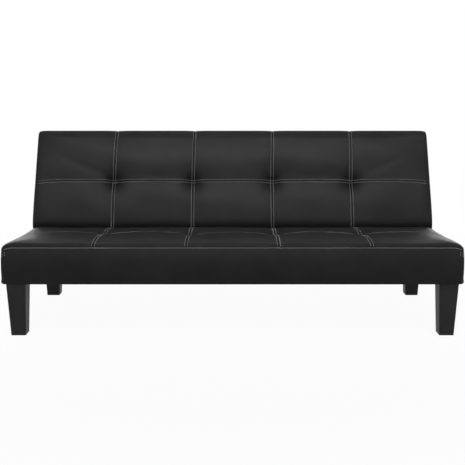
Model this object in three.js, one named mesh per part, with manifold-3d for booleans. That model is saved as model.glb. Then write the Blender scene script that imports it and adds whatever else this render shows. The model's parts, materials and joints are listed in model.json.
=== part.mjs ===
// A click-clack sofa bed: a padded seat and a padded back on a steel base with four tapered legs.
// Millimetres, +Z up. The sofa faces -Y, its width runs along X, and its origin lies on the floor
// at the middle of the box around it.
//
// Both padded sections turn on one axis, which lies a little under the crease between them. The back
// is modelled lying flat, level with the seat, and a nested group turns it up to where it leans.

import * as THREE from "three";
import { mergeVertices } from "three/addons/utils/BufferGeometryUtils.js";
import Module from "manifold-3d";

const wasm = await Module();
wasm.setup();

// ---------------------------------------------------------------- driving sizes

const WIDTH = 1680; // side to side, seat and back alike
const SEAT_DEPTH = 508; // front face to rear face
const SEAT_BOTTOM = 198; // the cover's lower edge above the floor
const SEAT_THICKNESS = 140;
const BACK_LENGTH = 448; // from the edge by the seat to the upper edge
const BACK_THICKNESS = 104;
const FOLD_DEG = 64; // from lying flat up to where the back leans as a sofa
const LIFT_DEG = 6; // how far the seat's front edge lifts
const FORWARD_DEG = 4; // how far the back comes forward to free the ratchet

const BED_CLEARANCE = 0.7; // between the back, lying flat, and the bolts on the rails
const BACK_FACE = 38; // padded face of the back above the axis
const SECTION_GAP = 8; // between the seat's rear face and the back's lower end, lying flat
const CREASE_SLACK_DEG = 1.5; // spare angle on each side of the crease at the joints' limits

const FIT = 0.3; // gap between pieces that touch
const PLAY = 0.5; // gap between plates that slide past each other

// padding and covers
const COVER = 5.2; // cover and its lining on the sides
const QUILT = 31; // quilted wadding under the face
const EDGE_ROUND = 28; // rounding of the long front edges
const REAR_ROUND = 26; // rounding of the back's upper rear edge
const END_ROUND = 16; // rounding of the left and right ends
const FOAM_INSET = 12; // wadding between the foam's edge and the frame's outer face

// wooden frames
const BOARD = 22; // thickness of every board
const SEAT_BOARD_HEIGHT = 62; // front and side boards
const SEAT_CROSS_HEIGHT = 30; // boards that pass over the steel base
const BACK_BOARD_HEIGHT = 38;
const CROSS_BOARD_Y = 60; // front face of the board that rests on the bumpers
const WEBBING = 3;
const STRAP = 50;
const STRAP_PITCH = 150;
const REAR_PANEL = 5.7;
const DUST_COVER = 1;
const BOARD_RAISE = 2; // seat boards above the cover's lower edge
const ROOM_TO_BOARD = 4; // from a hinge's room to the board across it
const STAPLE_EDGE = 2; // webbing ends short of a board's outer face

// steel base
const RAIL_WIDTH = 40;
const RAIL_HEIGHT = 26;
const RAIL_WALL = 2;
const RAIL_CLEARANCE = 3; // between a rail and the seat's side board
const RAIL_BEFORE_LEG = 17; // from the middle of the front leg to the rail's front end
const RAIL_PAST_LEG = 41; // from the middle of the rear leg to the rail's rear end
const CAP_PLUG = 14;
const CAP_FACE = 3;
const CROSSBAR = 26;
const FRONT_CROSSBAR_Y = 133;
const REAR_CROSSBAR_BEHIND = 61; // behind the hinge axis

// legs
const REAR_LEG_BEHIND = 137; // behind the hinge axis
const LEG_TOP = [72, 75];
const LEG_FOOT = [54, 58];
const LEG_CORNER = 6;
const BOLT_R = 4;
const BOLT_HEAD_R = 8;
const BOLT_HEAD = 4;
const BOLT_GRIP = 40; // how deep the bolt reaches into the leg
const BOLT_HOLE_SPARE = 2; // hole beyond the bolt's end
const GLIDE_R = 16;
const GLIDE_SHOWS = 2;
const GLIDE_SUNK = 4;

// hinges
const PLATE = 4;
const EYE_R = 13;
const PIN_R = 5;
const PIN_HEAD_R = 9;
const PIN_HEAD = 4;
const SEAT_ARM_FOOT = [-112, -50, -59, -35]; // y and z from the axis, where the seat arm is bolted
const BACK_ARM_FOOT = [76, 138, -56, -30];
const ARM_WIDTH = 20;
const ARM_BOLT_R = 3;
const ARM_BOLT_HEAD_R = 6;
const ARM_BOLT_HEAD = 3;
const ARM_BOLT_LENGTH = 18;
const ARM_SHEET_REACH = 80; // more than any arm reaches from the axis
const JOGGLE_START = 46;
const JOGGLE_LENGTH = 12;
const BRACKET_FOOT = [-44, 38]; // y from the axis
const BRACKET_INSET = 3; // flange from the rail's inner side
const BRACKET_OVER_PIN = 2; // bracket beyond the pawl's hub
const SECTOR_R = 40;
const SECTOR_START = -155; // degrees, with the back lying flat
const SECTOR_END = -58;
const NOTCH_DEPTH = 8;
const NOTCH_DEG = [-3, 10]; // steep side and ramp of a notch
const PAWL_NOSE_DEG = -75; // where the pawl's nose meets the sector
const PAWL_PIVOT_DEG = -120;
const PAWL_PIVOT_R = 58;
const PAWL_HUB_R = 7;
const PAWL_NOSE_CLEARANCE = 0.8;
const PAWL_NOSE = 5; // depth of the blade at its nose
const PAWL_PIN_R = 3;
const PAWL_PIN_HEAD_R = 5;
const PAWL_PIN_HEAD = 2;
const SPRING_R = 4.6;
const SPRING_WIRE_R = 0.8;
const SPRING_TURNS = 3;
const SPRING_PITCH = 2.5; // in wire radii
const SPRING_STEPS = 12; // points in a turn
const SPRING_TAIL = 9;

// room for the hinges in the padded sections
const HINGE_ROOM_SIDE = 6; // beside the rail
const ROOM_IN_BOARD = 1; // cut into the cover's wall, so that the plates run free
const ROOM_IN_FOAM = 8; // foam beyond the arm's width
const HINGE_ROOM_HEIGHT = 17; // above the axis
const SEAT_ROOM = 48; // forwards of the axis
const BACK_ROOM = 50; // behind the axis, lying flat

const BUMPER_R = 10;

const PAST = 1; // how far a cutting tool or a joining end reaches past the face it meets
const FINE = 24; // sides of a large round piece
const ROUND = 20;
const SMALL = 16;

// ---------------------------------------------------------------- places that follow

const rad = THREE.MathUtils.degToRad;
const SEAT_TOP = SEAT_BOTTOM + SEAT_THICKNESS;
const RAIL_TOP = SEAT_BOTTOM + RAIL_HEIGHT;
const AXIS_Y = SEAT_DEPTH + SECTION_GAP / 2;
const AXIS_Z = RAIL_TOP + FIT + BOLT_HEAD + BED_CLEARANCE + BACK_THICKNESS - BACK_FACE;
const HINGE_SINK = SEAT_TOP - AXIS_Z; // axis below the top of the seat
const BACK_START = AXIS_Y + SECTION_GAP / 2;
const BACK_END = BACK_START + BACK_LENGTH;
const BACK_TOP = AXIS_Z + BACK_FACE;
const BACK_BOTTOM = BACK_TOP - BACK_THICKNESS;
const FRAME_X = WIDTH / 2 - COVER - FIT; // outer face of the side boards
const BOARD_X = FRAME_X - BOARD; // inner face of the side boards
const FRONT_BOARD_Y = COVER + FIT; // front face of the front board
const RAIL_START = FRONT_BOARD_Y + BOARD + PLAY;
const FRONT_LEG_Y = RAIL_START + RAIL_BEFORE_LEG;
const REAR_LEG_Y = AXIS_Y + REAR_LEG_BEHIND;
const REAR_CROSSBAR_Y = AXIS_Y + REAR_CROSSBAR_BEHIND;
const RAIL_END = REAR_LEG_Y + RAIL_PAST_LEG;
const RAIL_INNER_X = BOARD_X - RAIL_CLEARANCE - RAIL_WIDTH;
const LEG_X = RAIL_INNER_X + RAIL_WIDTH / 2;
const SEAT_BOARD_BOTTOM = SEAT_BOTTOM + BOARD_RAISE;
const SEAT_BOARD_TOP = SEAT_BOARD_BOTTOM + SEAT_BOARD_HEIGHT;
const SEAT_CROSS_BOTTOM = SEAT_BOARD_TOP - SEAT_CROSS_HEIGHT;
const BACK_BOARD_BOTTOM = BACK_BOTTOM + REAR_PANEL + FIT;
const BACK_BOARD_TOP = BACK_BOARD_BOTTOM + BACK_BOARD_HEIGHT;

// The plates of a hinge stand side by side, from the side board inwards.
const OUTER_PLATE = BOARD_X - FIT - PLATE; // seat arm, and the bolted end of the back arm
const BRACKET_PLATE = OUTER_PLATE - PLAY - PLATE;
const RATCHET_PLATE = BRACKET_PLATE - PLAY - PLATE; // eye of the back arm, and the pawl

const PAWL_Y = AXIS_Y + PAWL_PIVOT_R * Math.cos(rad(PAWL_PIVOT_DEG));
const PAWL_Z = AXIS_Z + PAWL_PIVOT_R * Math.sin(rad(PAWL_PIVOT_DEG));

// ---------------------------------------------------------------- finishes

const finish = (color, roughness, metalness = 0) =>
  new THREE.MeshStandardMaterial({ color, roughness, metalness });
const leather = finish(0x1b1b1c, 0.42);
const blackPlastic = finish(0x232324, 0.5);
const timber = finish(0xc9a878, 0.75);
const foam = finish(0xe6dcc0, 0.95);
const webbing = finish(0x3a3d42, 0.9);
const blackSteel = finish(0x202123, 0.45, 0.7);
const zinc = finish(0xb4b6b8, 0.35, 0.9);
const rubber = finish(0x161616, 0.85);
const nonWoven = finish(0x141415, 0.95);

// ---------------------------------------------------------------- solids

function solidOf(geometry) {
  const bare = geometry.index ? geometry.toNonIndexed() : geometry.clone();
  bare.deleteAttribute("normal");
  bare.deleteAttribute("uv");
  const merged = mergeVertices(bare, 1e-3);
  return new wasm.Manifold(
    new wasm.Mesh({
      numProp: 3,
      vertProperties: merged.attributes.position.array,
      triVerts: new Uint32Array(merged.index.array),
    }),
  );
}

function geometryOf(solid) {
  const mesh = solid.getMesh();
  return new THREE.BufferGeometry()
    .setAttribute("position", new THREE.BufferAttribute(mesh.vertProperties, 3))
    .setIndex(new THREE.BufferAttribute(mesh.triVerts, 1));
}

const joined = (first, ...rest) => rest.reduce((whole, part) => whole.add(part), first);
const cut = (whole, ...tools) => tools.reduce((left, tool) => left.subtract(tool), whole);

function boxGeometry(x0, x1, y0, y1, z0, z1) {
  return new THREE.BoxGeometry(x1 - x0, y1 - y0, z1 - z0).translate(
    (x0 + x1) / 2,
    (y0 + y1) / 2,
    (z0 + z1) / 2,
  );
}

const block = (...limits) => solidOf(boxGeometry(...limits));

// A round bar along X or Z, given by its two ends.
function roundX(x0, x1, y, z, radius, sides = ROUND) {
  const bar = new THREE.CylinderGeometry(radius, radius, x1 - x0, sides);
  return solidOf(bar.rotateZ(-Math.PI / 2).translate((x0 + x1) / 2, y, z));
}

function roundZ(x, y, z0, z1, radius, sides = ROUND) {
  const bar = new THREE.CylinderGeometry(radius, radius, z1 - z0, sides);
  return solidOf(bar.rotateX(Math.PI / 2).translate(x, y, (z0 + z1) / 2));
}

// A shape drawn in Y and Z, drawn out along X; round softens its two ends.
function drawnX(shape, x0, x1, round = 0) {
  const geometry = new THREE.ExtrudeGeometry(shape, {
    depth: x1 - x0 - 2 * round,
    curveSegments: 5,
    bevelEnabled: round > 0,
    bevelThickness: round,
    bevelSize: round,
    bevelOffset: -round,
    bevelSegments: 4,
  });
  const axes = new THREE.Matrix4().makeBasis(
    new THREE.Vector3(0, 1, 0),
    new THREE.Vector3(0, 0, 1),
    new THREE.Vector3(1, 0, 0),
  );
  return solidOf(geometry.applyMatrix4(axes).translate(x0 + round, 0, 0));
}

function polygon(points) {
  return new THREE.Shape(points.map(([u, v]) => new THREE.Vector2(u, v)));
}

function rectangle(y0, y1, z0, z1) {
  return polygon([[y0, z0], [y1, z0], [y1, z1], [y0, z1]]);
}

function mirrored(solid) {
  return solid.mirror([1, 0, 0]);
}

// ---------------------------------------------------------------- the assembly

const sofa = new THREE.Group();
const base = new THREE.Group();
const seat = new THREE.Group();
const backPivot = new THREE.Group();
const back = new THREE.Group();
sofa.add(base, seat, backPivot);
backPivot.add(back);
backPivot.position.set(0, AXIS_Y, AXIS_Z);
backPivot.rotation.x = rad(FOLD_DEG);
back.position.set(0, -AXIS_Y, -AXIS_Z);

function place(group, name, solid, material) {
  const mesh = new THREE.Mesh(geometryOf(solid), material);
  mesh.name = name;
  group.add(mesh);
}

// The right-hand piece is the one on the +X side, as it is modelled.
function placePair(group, name, solid, material) {
  place(group, `${name}_right`, solid, material);
  place(group, `${name}_left`, mirrored(solid), material);
}

// ---------------------------------------------------------------- steel base

function railTube() {
  const x0 = RAIL_INNER_X;
  const x1 = RAIL_INNER_X + RAIL_WIDTH;
  const outside = block(x0, x1, RAIL_START, RAIL_END, SEAT_BOTTOM, RAIL_TOP);
  const inside = block(
    x0 + RAIL_WALL,
    x1 - RAIL_WALL,
    RAIL_START - PAST,
    RAIL_END + PAST,
    SEAT_BOTTOM + RAIL_WALL,
    RAIL_TOP - RAIL_WALL,
  );
  const holes = [FRONT_LEG_Y, REAR_LEG_Y].map((y) =>
    roundZ(LEG_X, y, SEAT_BOTTOM - PAST, RAIL_TOP + PAST, BOLT_R + FIT),
  );
  return cut(outside, inside, ...holes);
}

function railEndCap() {
  const reach = RAIL_WIDTH / 2 - RAIL_WALL - FIT;
  const plug = block(
    LEG_X - reach,
    LEG_X + reach,
    RAIL_END - CAP_PLUG,
    RAIL_END + FIT,
    SEAT_BOTTOM + RAIL_WALL + FIT,
    RAIL_TOP - RAIL_WALL - FIT,
  );
  const face = block(
    RAIL_INNER_X,
    RAIL_INNER_X + RAIL_WIDTH,
    RAIL_END + FIT,
    RAIL_END + CAP_FACE,
    SEAT_BOTTOM,
    RAIL_TOP,
  );
  return joined(plug, face);
}

function crossbar(y) {
  const reach = RAIL_INNER_X - FIT;
  const outside = block(-reach, reach, y - CROSSBAR / 2, y + CROSSBAR / 2, SEAT_BOTTOM, RAIL_TOP);
  const inside = block(
    -reach - PAST,
    reach + PAST,
    y - CROSSBAR / 2 + RAIL_WALL,
    y + CROSSBAR / 2 - RAIL_WALL,
    SEAT_BOTTOM + RAIL_WALL,
    RAIL_TOP - RAIL_WALL,
  );
  return cut(outside, inside);
}

function leg(y) {
  const top = SEAT_BOTTOM - FIT;
  const [wide, deep] = LEG_TOP.map((side) => side / 2);
  const outline = new THREE.Shape();
  outline.absarc(wide - LEG_CORNER, deep - LEG_CORNER, LEG_CORNER, 0, Math.PI / 2);
  outline.absarc(-wide + LEG_CORNER, deep - LEG_CORNER, LEG_CORNER, Math.PI / 2, Math.PI);
  outline.absarc(-wide + LEG_CORNER, -deep + LEG_CORNER, LEG_CORNER, Math.PI, 1.5 * Math.PI);
  outline.absarc(wide - LEG_CORNER, -deep + LEG_CORNER, LEG_CORNER, 1.5 * Math.PI, 2 * Math.PI);
  const body = new THREE.ExtrudeGeometry(outline, {
    depth: top - GLIDE_SHOWS,
    bevelEnabled: false,
    curveSegments: 4,
  });
  const points = body.attributes.position;
  for (let i = 0; i < points.count; i++) {
    const down = 1 - points.getZ(i) / (top - GLIDE_SHOWS);
    points.setX(i, points.getX(i) * (1 - down * (1 - LEG_FOOT[0] / LEG_TOP[0])));
    points.setY(i, points.getY(i) * (1 - down * (1 - LEG_FOOT[1] / LEG_TOP[1])));
  }
  body.translate(LEG_X, y, GLIDE_SHOWS);
  const boltHole = roundZ(LEG_X, y, top - BOLT_GRIP - BOLT_HOLE_SPARE, top + PAST, BOLT_R + FIT);
  const glideHole = roundZ(LEG_X, y, 0, GLIDE_SHOWS + GLIDE_SUNK + FIT, GLIDE_R + FIT);
  return cut(solidOf(body), boltHole, glideHole);
}

function legBolt(y) {
  const shank = roundZ(LEG_X, y, SEAT_BOTTOM - FIT - BOLT_GRIP, RAIL_TOP + PAST, BOLT_R, SMALL);
  const head = roundZ(LEG_X, y, RAIL_TOP + FIT, RAIL_TOP + FIT + BOLT_HEAD, BOLT_HEAD_R, SMALL);
  return joined(shank, head);
}

function footGlide(y) {
  return roundZ(LEG_X, y, 0, GLIDE_SHOWS + GLIDE_SUNK, GLIDE_R, FINE);
}

function bumper(y, top) {
  return roundZ(LEG_X, y, RAIL_TOP + FIT, top - FIT, BUMPER_R, SMALL);
}

function buildBase() {
  placePair(base, "base_rail", railTube(), blackSteel);
  placePair(base, "rail_end_cap", railEndCap(), blackPlastic);
  place(base, "front_crossbar", crossbar(FRONT_CROSSBAR_Y), blackSteel);
  place(base, "rear_crossbar", crossbar(REAR_CROSSBAR_Y), blackSteel);
  for (const [end, y] of [["front", FRONT_LEG_Y], ["rear", REAR_LEG_Y]]) {
    placePair(base, `${end}_leg`, leg(y), blackPlastic);
    placePair(base, `${end}_leg_bolt`, legBolt(y), zinc);
    placePair(base, `${end}_foot_glide`, footGlide(y), rubber);
  }
  placePair(base, "seat_bumper", bumper(CROSS_BOARD_Y + BOARD / 2, SEAT_CROSS_BOTTOM), rubber);
  placePair(base, "back_bumper", bumper(REAR_LEG_Y - LEG_TOP[1] / 2, BACK_BOTTOM), rubber);
}

// ---------------------------------------------------------------- hinges

// A flat arm: a round eye on the axis and a slanting bar down to its bolted foot.
function armOutline([y0, y1, z0, z1]) {
  const footY = AXIS_Y + (y0 + y1) / 2;
  const footZ = AXIS_Z + (z0 + z1) / 2;
  const slope = new THREE.Vector2(footY - AXIS_Y, footZ - AXIS_Z).normalize();
  const [sideY, sideZ] = [(-slope.y * ARM_WIDTH) / 2, (slope.x * ARM_WIDTH) / 2];
  const bar = [
    [AXIS_Y + sideY, AXIS_Z + sideZ],
    [AXIS_Y - sideY, AXIS_Z - sideZ],
    [footY - sideY, footZ - sideZ],
    [footY + sideY, footZ + sideZ],
  ];
  return {
    bar: polygon(THREE.ShapeUtils.area(polygon(bar).getPoints()) > 0 ? bar : bar.reverse()),
    foot: rectangle(AXIS_Y + y0, AXIS_Y + y1, AXIS_Z + z0, AXIS_Z + z1),
  };
}

function armSides(limits, x0, x1) {
  const { bar, foot } = armOutline(limits);
  return joined(
    roundX(x0, x1, AXIS_Y, AXIS_Z, EYE_R, FINE),
    drawnX(bar, x0, x1),
    drawnX(foot, x0, x1),
  );
}

const footMiddle = ([y0, y1, z0, z1]) => [AXIS_Y + (y0 + y1) / 2, AXIS_Z + (z0 + z1) / 2];
const armBoltAt = (limits) => {
  const [y, z] = footMiddle(limits);
  return [y + (Math.sign(limits[0]) * (limits[1] - limits[0])) / 4, z];
};

const axisHole = (x0) => roundX(x0 - PAST, x0 + PLATE + PAST, AXIS_Y, AXIS_Z, PIN_R + FIT);
const armBoltHole = (limits) => {
  const end = OUTER_PLATE + ARM_BOLT_LENGTH + BOLT_HOLE_SPARE;
  return roundX(OUTER_PLATE - PAST, end, ...armBoltAt(limits), ARM_BOLT_R + FIT);
};

function seatArm() {
  return cut(
    armSides(SEAT_ARM_FOOT, OUTER_PLATE, OUTER_PLATE + PLATE),
    axisHole(OUTER_PLATE),
    armBoltHole(SEAT_ARM_FOOT),
  );
}

// The back arm is stamped from one sheet. Past the joggle it lies in the outer plane.
function joggledSheet() {
  const outline = (shift) => [
    [AXIS_Y - ARM_SHEET_REACH, RATCHET_PLATE + shift],
    [AXIS_Y + JOGGLE_START, RATCHET_PLATE + shift],
    [AXIS_Y + JOGGLE_START + JOGGLE_LENGTH, OUTER_PLATE + shift],
    [AXIS_Y + BACK_ARM_FOOT[1] + ARM_SHEET_REACH, OUTER_PLATE + shift],
  ];
  const sheet = polygon([...outline(0), ...outline(PLATE).reverse()]);
  const height = 2 * ARM_SHEET_REACH;
  const geometry = new THREE.ExtrudeGeometry(sheet, { depth: height, bevelEnabled: false });
  const axes = new THREE.Matrix4().makeBasis(
    new THREE.Vector3(0, 1, 0),
    new THREE.Vector3(1, 0, 0),
    new THREE.Vector3(0, 0, -1),
  );
  return solidOf(geometry.applyMatrix4(axes).translate(0, 0, AXIS_Z + height / 2));
}

function sectorOutline() {
  const shape = new THREE.Shape();
  shape.absarc(AXIS_Y, AXIS_Z, SECTOR_R, rad(SECTOR_START), rad(SECTOR_END));
  shape.lineTo(AXIS_Y, AXIS_Z);
  return shape;
}

// Stops of the ratchet: sofa, half way and bed.
function ratchetNotch(foldDeg) {
  const middle = PAWL_NOSE_DEG - foldDeg;
  const point = (radius, deg) => [
    AXIS_Y + radius * Math.cos(rad(deg)),
    AXIS_Z + radius * Math.sin(rad(deg)),
  ];
  const wedge = polygon([
    point(SECTOR_R - NOTCH_DEPTH, middle),
    ...NOTCH_DEG.map((side) => point(SECTOR_R + 3 * PAST, middle + side)),
  ]);
  return drawnX(wedge, RATCHET_PLATE - PAST, RATCHET_PLATE + PLATE + PAST);
}

function backArm() {
  const x1 = OUTER_PLATE + PLATE;
  const outline = joined(
    armSides(BACK_ARM_FOOT, RATCHET_PLATE, x1),
    drawnX(sectorOutline(), RATCHET_PLATE, x1),
  );
  const notches = [FOLD_DEG, FOLD_DEG / 2, 0].map(ratchetNotch);
  return cut(
    outline.intersect(joggledSheet()),
    axisHole(RATCHET_PLATE),
    armBoltHole(BACK_ARM_FOOT),
    ...notches,
  );
}

function armBolt(limits) {
  const [y, z] = armBoltAt(limits);
  const headEnd = OUTER_PLATE - FIT;
  const head = roundX(headEnd - ARM_BOLT_HEAD, headEnd, y, z, ARM_BOLT_HEAD_R, SMALL);
  const shank = roundX(headEnd - PAST, OUTER_PLATE + ARM_BOLT_LENGTH, y, z, ARM_BOLT_R, SMALL);
  return joined(head, shank);
}

function hingeBracket() {
  const [y0, y1] = BRACKET_FOOT;
  const footZ = RAIL_TOP + FIT;
  const upright = polygon([
    [AXIS_Y + y0, footZ],
    [AXIS_Y + y1, footZ],
    [AXIS_Y + EYE_R - PAST, AXIS_Z],
    [AXIS_Y - EYE_R + PAST, AXIS_Z],
    [AXIS_Y + y0, PAWL_Z + PAWL_HUB_R + BRACKET_OVER_PIN],
  ]);
  const x1 = BRACKET_PLATE + PLATE;
  const flange = block(
    RAIL_INNER_X + BRACKET_INSET,
    x1,
    AXIS_Y + y0,
    AXIS_Y + y1,
    footZ,
    footZ + PLATE,
  );
  return cut(
    joined(
      drawnX(upright, BRACKET_PLATE, x1),
      roundX(BRACKET_PLATE, x1, AXIS_Y, AXIS_Z, EYE_R, FINE),
      flange,
    ),
    axisHole(BRACKET_PLATE),
    roundX(BRACKET_PLATE - PAST, x1 + PAST, PAWL_Y, PAWL_Z, PAWL_PIN_R + FIT),
  );
}

function pivotPin() {
  const head = RATCHET_PLATE - PLAY;
  return joined(
    roundX(head - PIN_HEAD, head, AXIS_Y, AXIS_Z, PIN_HEAD_R),
    roundX(head - PAST, OUTER_PLATE + PLATE, AXIS_Y, AXIS_Z, PIN_R),
  );
}

function pawl() {
  const noseR = SECTOR_R + PAWL_NOSE_CLEARANCE;
  const nose = new THREE.Vector2(
    AXIS_Y + noseR * Math.cos(rad(PAWL_NOSE_DEG)),
    AXIS_Z + noseR * Math.sin(rad(PAWL_NOSE_DEG)),
  );
  const along = nose.clone().sub(new THREE.Vector2(PAWL_Y, PAWL_Z)).normalize();
  const below = new THREE.Vector2(along.y, -along.x);
  const at = (from, forward, down) => [
    from.x + along.x * forward + below.x * down,
    from.y + along.y * forward + below.y * down,
  ];
  const pivot = new THREE.Vector2(PAWL_Y, PAWL_Z);
  const blade = polygon([
    at(pivot, 0, PAWL_HUB_R - PAST),
    at(nose, 0, PAWL_NOSE),
    at(nose, 0, 0),
    at(pivot, 0, PAST),
  ]);
  return cut(
    joined(
      drawnX(blade, RATCHET_PLATE, RATCHET_PLATE + PLATE),
      roundX(RATCHET_PLATE, RATCHET_PLATE + PLATE, PAWL_Y, PAWL_Z, PAWL_HUB_R),
    ),
    roundX(RATCHET_PLATE - PAST, RATCHET_PLATE + PLATE + PAST, PAWL_Y, PAWL_Z, PAWL_PIN_R + FIT),
  );
}

const springLength = SPRING_TURNS * SPRING_PITCH * SPRING_WIRE_R;

function pawlPin() {
  const head = RATCHET_PLATE - PLAY - springLength - 4 * SPRING_WIRE_R;
  return joined(
    roundX(head - PAWL_PIN_HEAD, head, PAWL_Y, PAWL_Z, PAWL_PIN_HEAD_R, SMALL),
    roundX(head - PAST, BRACKET_PLATE + PLATE, PAWL_Y, PAWL_Z, PAWL_PIN_R, SMALL),
  );
}

// A torsion spring round the pawl's pin, with one straight tail along the pawl.
function pawlSpring() {
  const start = RATCHET_PLATE - PLAY - 2 * SPRING_WIRE_R;
  const points = [];
  const steps = SPRING_TURNS * SPRING_STEPS;
  for (let i = 0; i <= steps; i++) {
    const turn = (i / SPRING_STEPS) * 2 * Math.PI;
    points.push(
      new THREE.Vector3(
        start - (i / steps) * springLength,
        PAWL_Y + SPRING_R * Math.cos(turn),
        PAWL_Z + SPRING_R * Math.sin(turn),
      ),
    );
  }
  points.push(new THREE.Vector3(start - springLength, PAWL_Y + SPRING_R, PAWL_Z + SPRING_TAIL));
  const wire = new THREE.Shape().absarc(0, 0, SPRING_WIRE_R, 0, 2 * Math.PI);
  return solidOf(
    new THREE.ExtrudeGeometry(wire, {
      extrudePath: new THREE.CatmullRomCurve3(points),
      steps: steps + SPRING_STEPS / 2,
      curveSegments: 3,
    }),
  );
}

function buildHinges() {
  placePair(base, "hinge_bracket", hingeBracket(), blackSteel);
  placePair(base, "pivot_pin", pivotPin(), zinc);
  placePair(base, "pawl", pawl(), zinc);
  placePair(base, "pawl_pin", pawlPin(), zinc);
  placePair(base, "pawl_spring", pawlSpring(), zinc);
  placePair(seat, "seat_arm", seatArm(), blackSteel);
  placePair(seat, "seat_arm_bolt", armBolt(SEAT_ARM_FOOT), zinc);
  placePair(back, "back_ratchet_arm", backArm(), blackSteel);
  placePair(back, "back_arm_bolt", armBolt(BACK_ARM_FOOT), zinc);
}

// Room that both padded sections leave for a hinge, on both sides of the sofa.
function hingeRoom(y0, y1, outerX) {
  const room = block(
    RAIL_INNER_X - HINGE_ROOM_SIDE,
    outerX,
    AXIS_Y + y0,
    AXIS_Y + y1,
    0,
    AXIS_Z + HINGE_ROOM_HEIGHT,
  );
  return [room, mirrored(room)];
}

// ---------------------------------------------------------------- seat

function seatProfile() {
  const lean = Math.tan(rad(FOLD_DEG / 2 + LIFT_DEG + CREASE_SLACK_DEG));
  const shape = new THREE.Shape();
  shape.moveTo(0, SEAT_BOTTOM);
  shape.lineTo(SEAT_DEPTH, SEAT_BOTTOM);
  shape.lineTo(SEAT_DEPTH, AXIS_Z + SECTION_GAP / 2 / lean);
  shape.lineTo(AXIS_Y - HINGE_SINK * lean, SEAT_TOP);
  shape.absarc(EDGE_ROUND, SEAT_TOP - EDGE_ROUND, EDGE_ROUND, Math.PI / 2, Math.PI);
  return shape;
}

// What the cover leaves free inside, seen from the side; gap shrinks it for a piece that lies in it.
function seatInside(front, bottom, gap) {
  const lean = Math.tan(rad(FOLD_DEG / 2 + LIFT_DEG + CREASE_SLACK_DEG));
  const top = SEAT_TOP - QUILT - gap;
  const rear = SEAT_DEPTH - COVER - gap;
  return polygon([
    [front, bottom],
    [rear, bottom],
    [rear, AXIS_Z - 3 * COVER],
    [AXIS_Y - (SEAT_TOP - QUILT - AXIS_Z) * lean - 2 * COVER - gap, top],
    [front, top],
  ]);
}

function seatCover() {
  const outside = drawnX(seatProfile(), -WIDTH / 2, WIDTH / 2, END_ROUND);
  const inside = drawnX(seatInside(COVER, 0, 0), -WIDTH / 2 + COVER, WIDTH / 2 - COVER);
  return cut(outside, inside, ...hingeRoom(-SEAT_ROOM, SECTION_GAP, BOARD_X + ROOM_IN_BOARD));
}

function seatFoam() {
  const bottom = SEAT_BOARD_TOP + 2 * FIT + WEBBING;
  const outline = seatInside(FRONT_BOARD_Y + FOAM_INSET, bottom, FIT);
  const whole = drawnX(outline, -FRAME_X + FOAM_INSET, FRAME_X - FOAM_INSET);
  return cut(whole, ...hingeRoom(-SEAT_ROOM - ARM_WIDTH - ROOM_IN_FOAM, 0, WIDTH));
}

// Straps woven both ways and stapled to the boards, as one mat.
function webbingMat(y0, y1, z, across) {
  const reach = RATCHET_PLATE - 2 * FIT; // the outermost straps pass beside the hinge arms
  const widest = FRAME_X - STAPLE_EDGE;
  const count = Math.floor((2 * reach - STRAP) / STRAP_PITCH);
  const pitch = (2 * reach - STRAP) / count;
  const along = Array.from({ length: count + 1 }, (_, i) => {
    const x = -reach + i * pitch;
    return block(x, x + STRAP, y0, y1, z, z + WEBBING);
  });
  const lengthwise = Array.from({ length: across }, (_, i) => {
    const y = y0 + ((i + 1) / (across + 1)) * (y1 - y0);
    return block(-widest, widest, y - STRAP / 2, y + STRAP / 2, z, z + WEBBING);
  });
  return joined(...along, ...lengthwise);
}

function seatSideBoard() {
  const start = FRONT_BOARD_Y + BOARD + FIT;
  return cut(
    block(BOARD_X, FRAME_X, start, SEAT_DEPTH - COVER - FIT, SEAT_BOARD_BOTTOM, SEAT_BOARD_TOP),
    armBoltHole(SEAT_ARM_FOOT),
  );
}

function buildSeat() {
  const rearBoard = AXIS_Y - SEAT_ROOM - ROOM_TO_BOARD; // rear face of the rear board
  const inner = BOARD_X - FIT;
  place(
    seat,
    "seat_front_board",
    block(-FRAME_X, FRAME_X, FRONT_BOARD_Y, FRONT_BOARD_Y + BOARD, SEAT_BOARD_BOTTOM, SEAT_BOARD_TOP),
    timber,
  );
  placePair(seat, "seat_side_board", seatSideBoard(), timber);
  place(
    seat,
    "seat_cross_board",
    block(-inner, inner, CROSS_BOARD_Y, CROSS_BOARD_Y + BOARD, SEAT_CROSS_BOTTOM, SEAT_BOARD_TOP),
    timber,
  );
  const rearReach = OUTER_PLATE - FIT;
  place(
    seat,
    "seat_rear_board",
    block(-rearReach, rearReach, rearBoard - BOARD, rearBoard, SEAT_CROSS_BOTTOM, SEAT_BOARD_TOP),
    timber,
  );
  place(
    seat,
    "seat_centre_board",
    block(
      -BOARD / 2,
      BOARD / 2,
      CROSS_BOARD_Y + BOARD + FIT,
      rearBoard - BOARD - FIT,
      SEAT_CROSS_BOTTOM,
      SEAT_BOARD_TOP,
    ),
    timber,
  );
  const straps = webbingMat(FRONT_BOARD_Y + STAPLE_EDGE, rearBoard, SEAT_BOARD_TOP + FIT, 3);
  place(seat, "seat_webbing", straps, webbing);
  place(
    seat,
    "seat_dust_cover",
    block(
      HINGE_ROOM_SIDE - RAIL_INNER_X,
      RAIL_INNER_X - HINGE_ROOM_SIDE,
      CROSS_BOARD_Y,
      rearBoard,
      SEAT_CROSS_BOTTOM - FIT - DUST_COVER,
      SEAT_CROSS_BOTTOM - FIT,
    ),
    nonWoven,
  );
  place(seat, "seat_foam", seatFoam(), foam);
  place(seat, "seat_cover", seatCover(), leather);
}

// ---------------------------------------------------------------- back, lying flat

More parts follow.
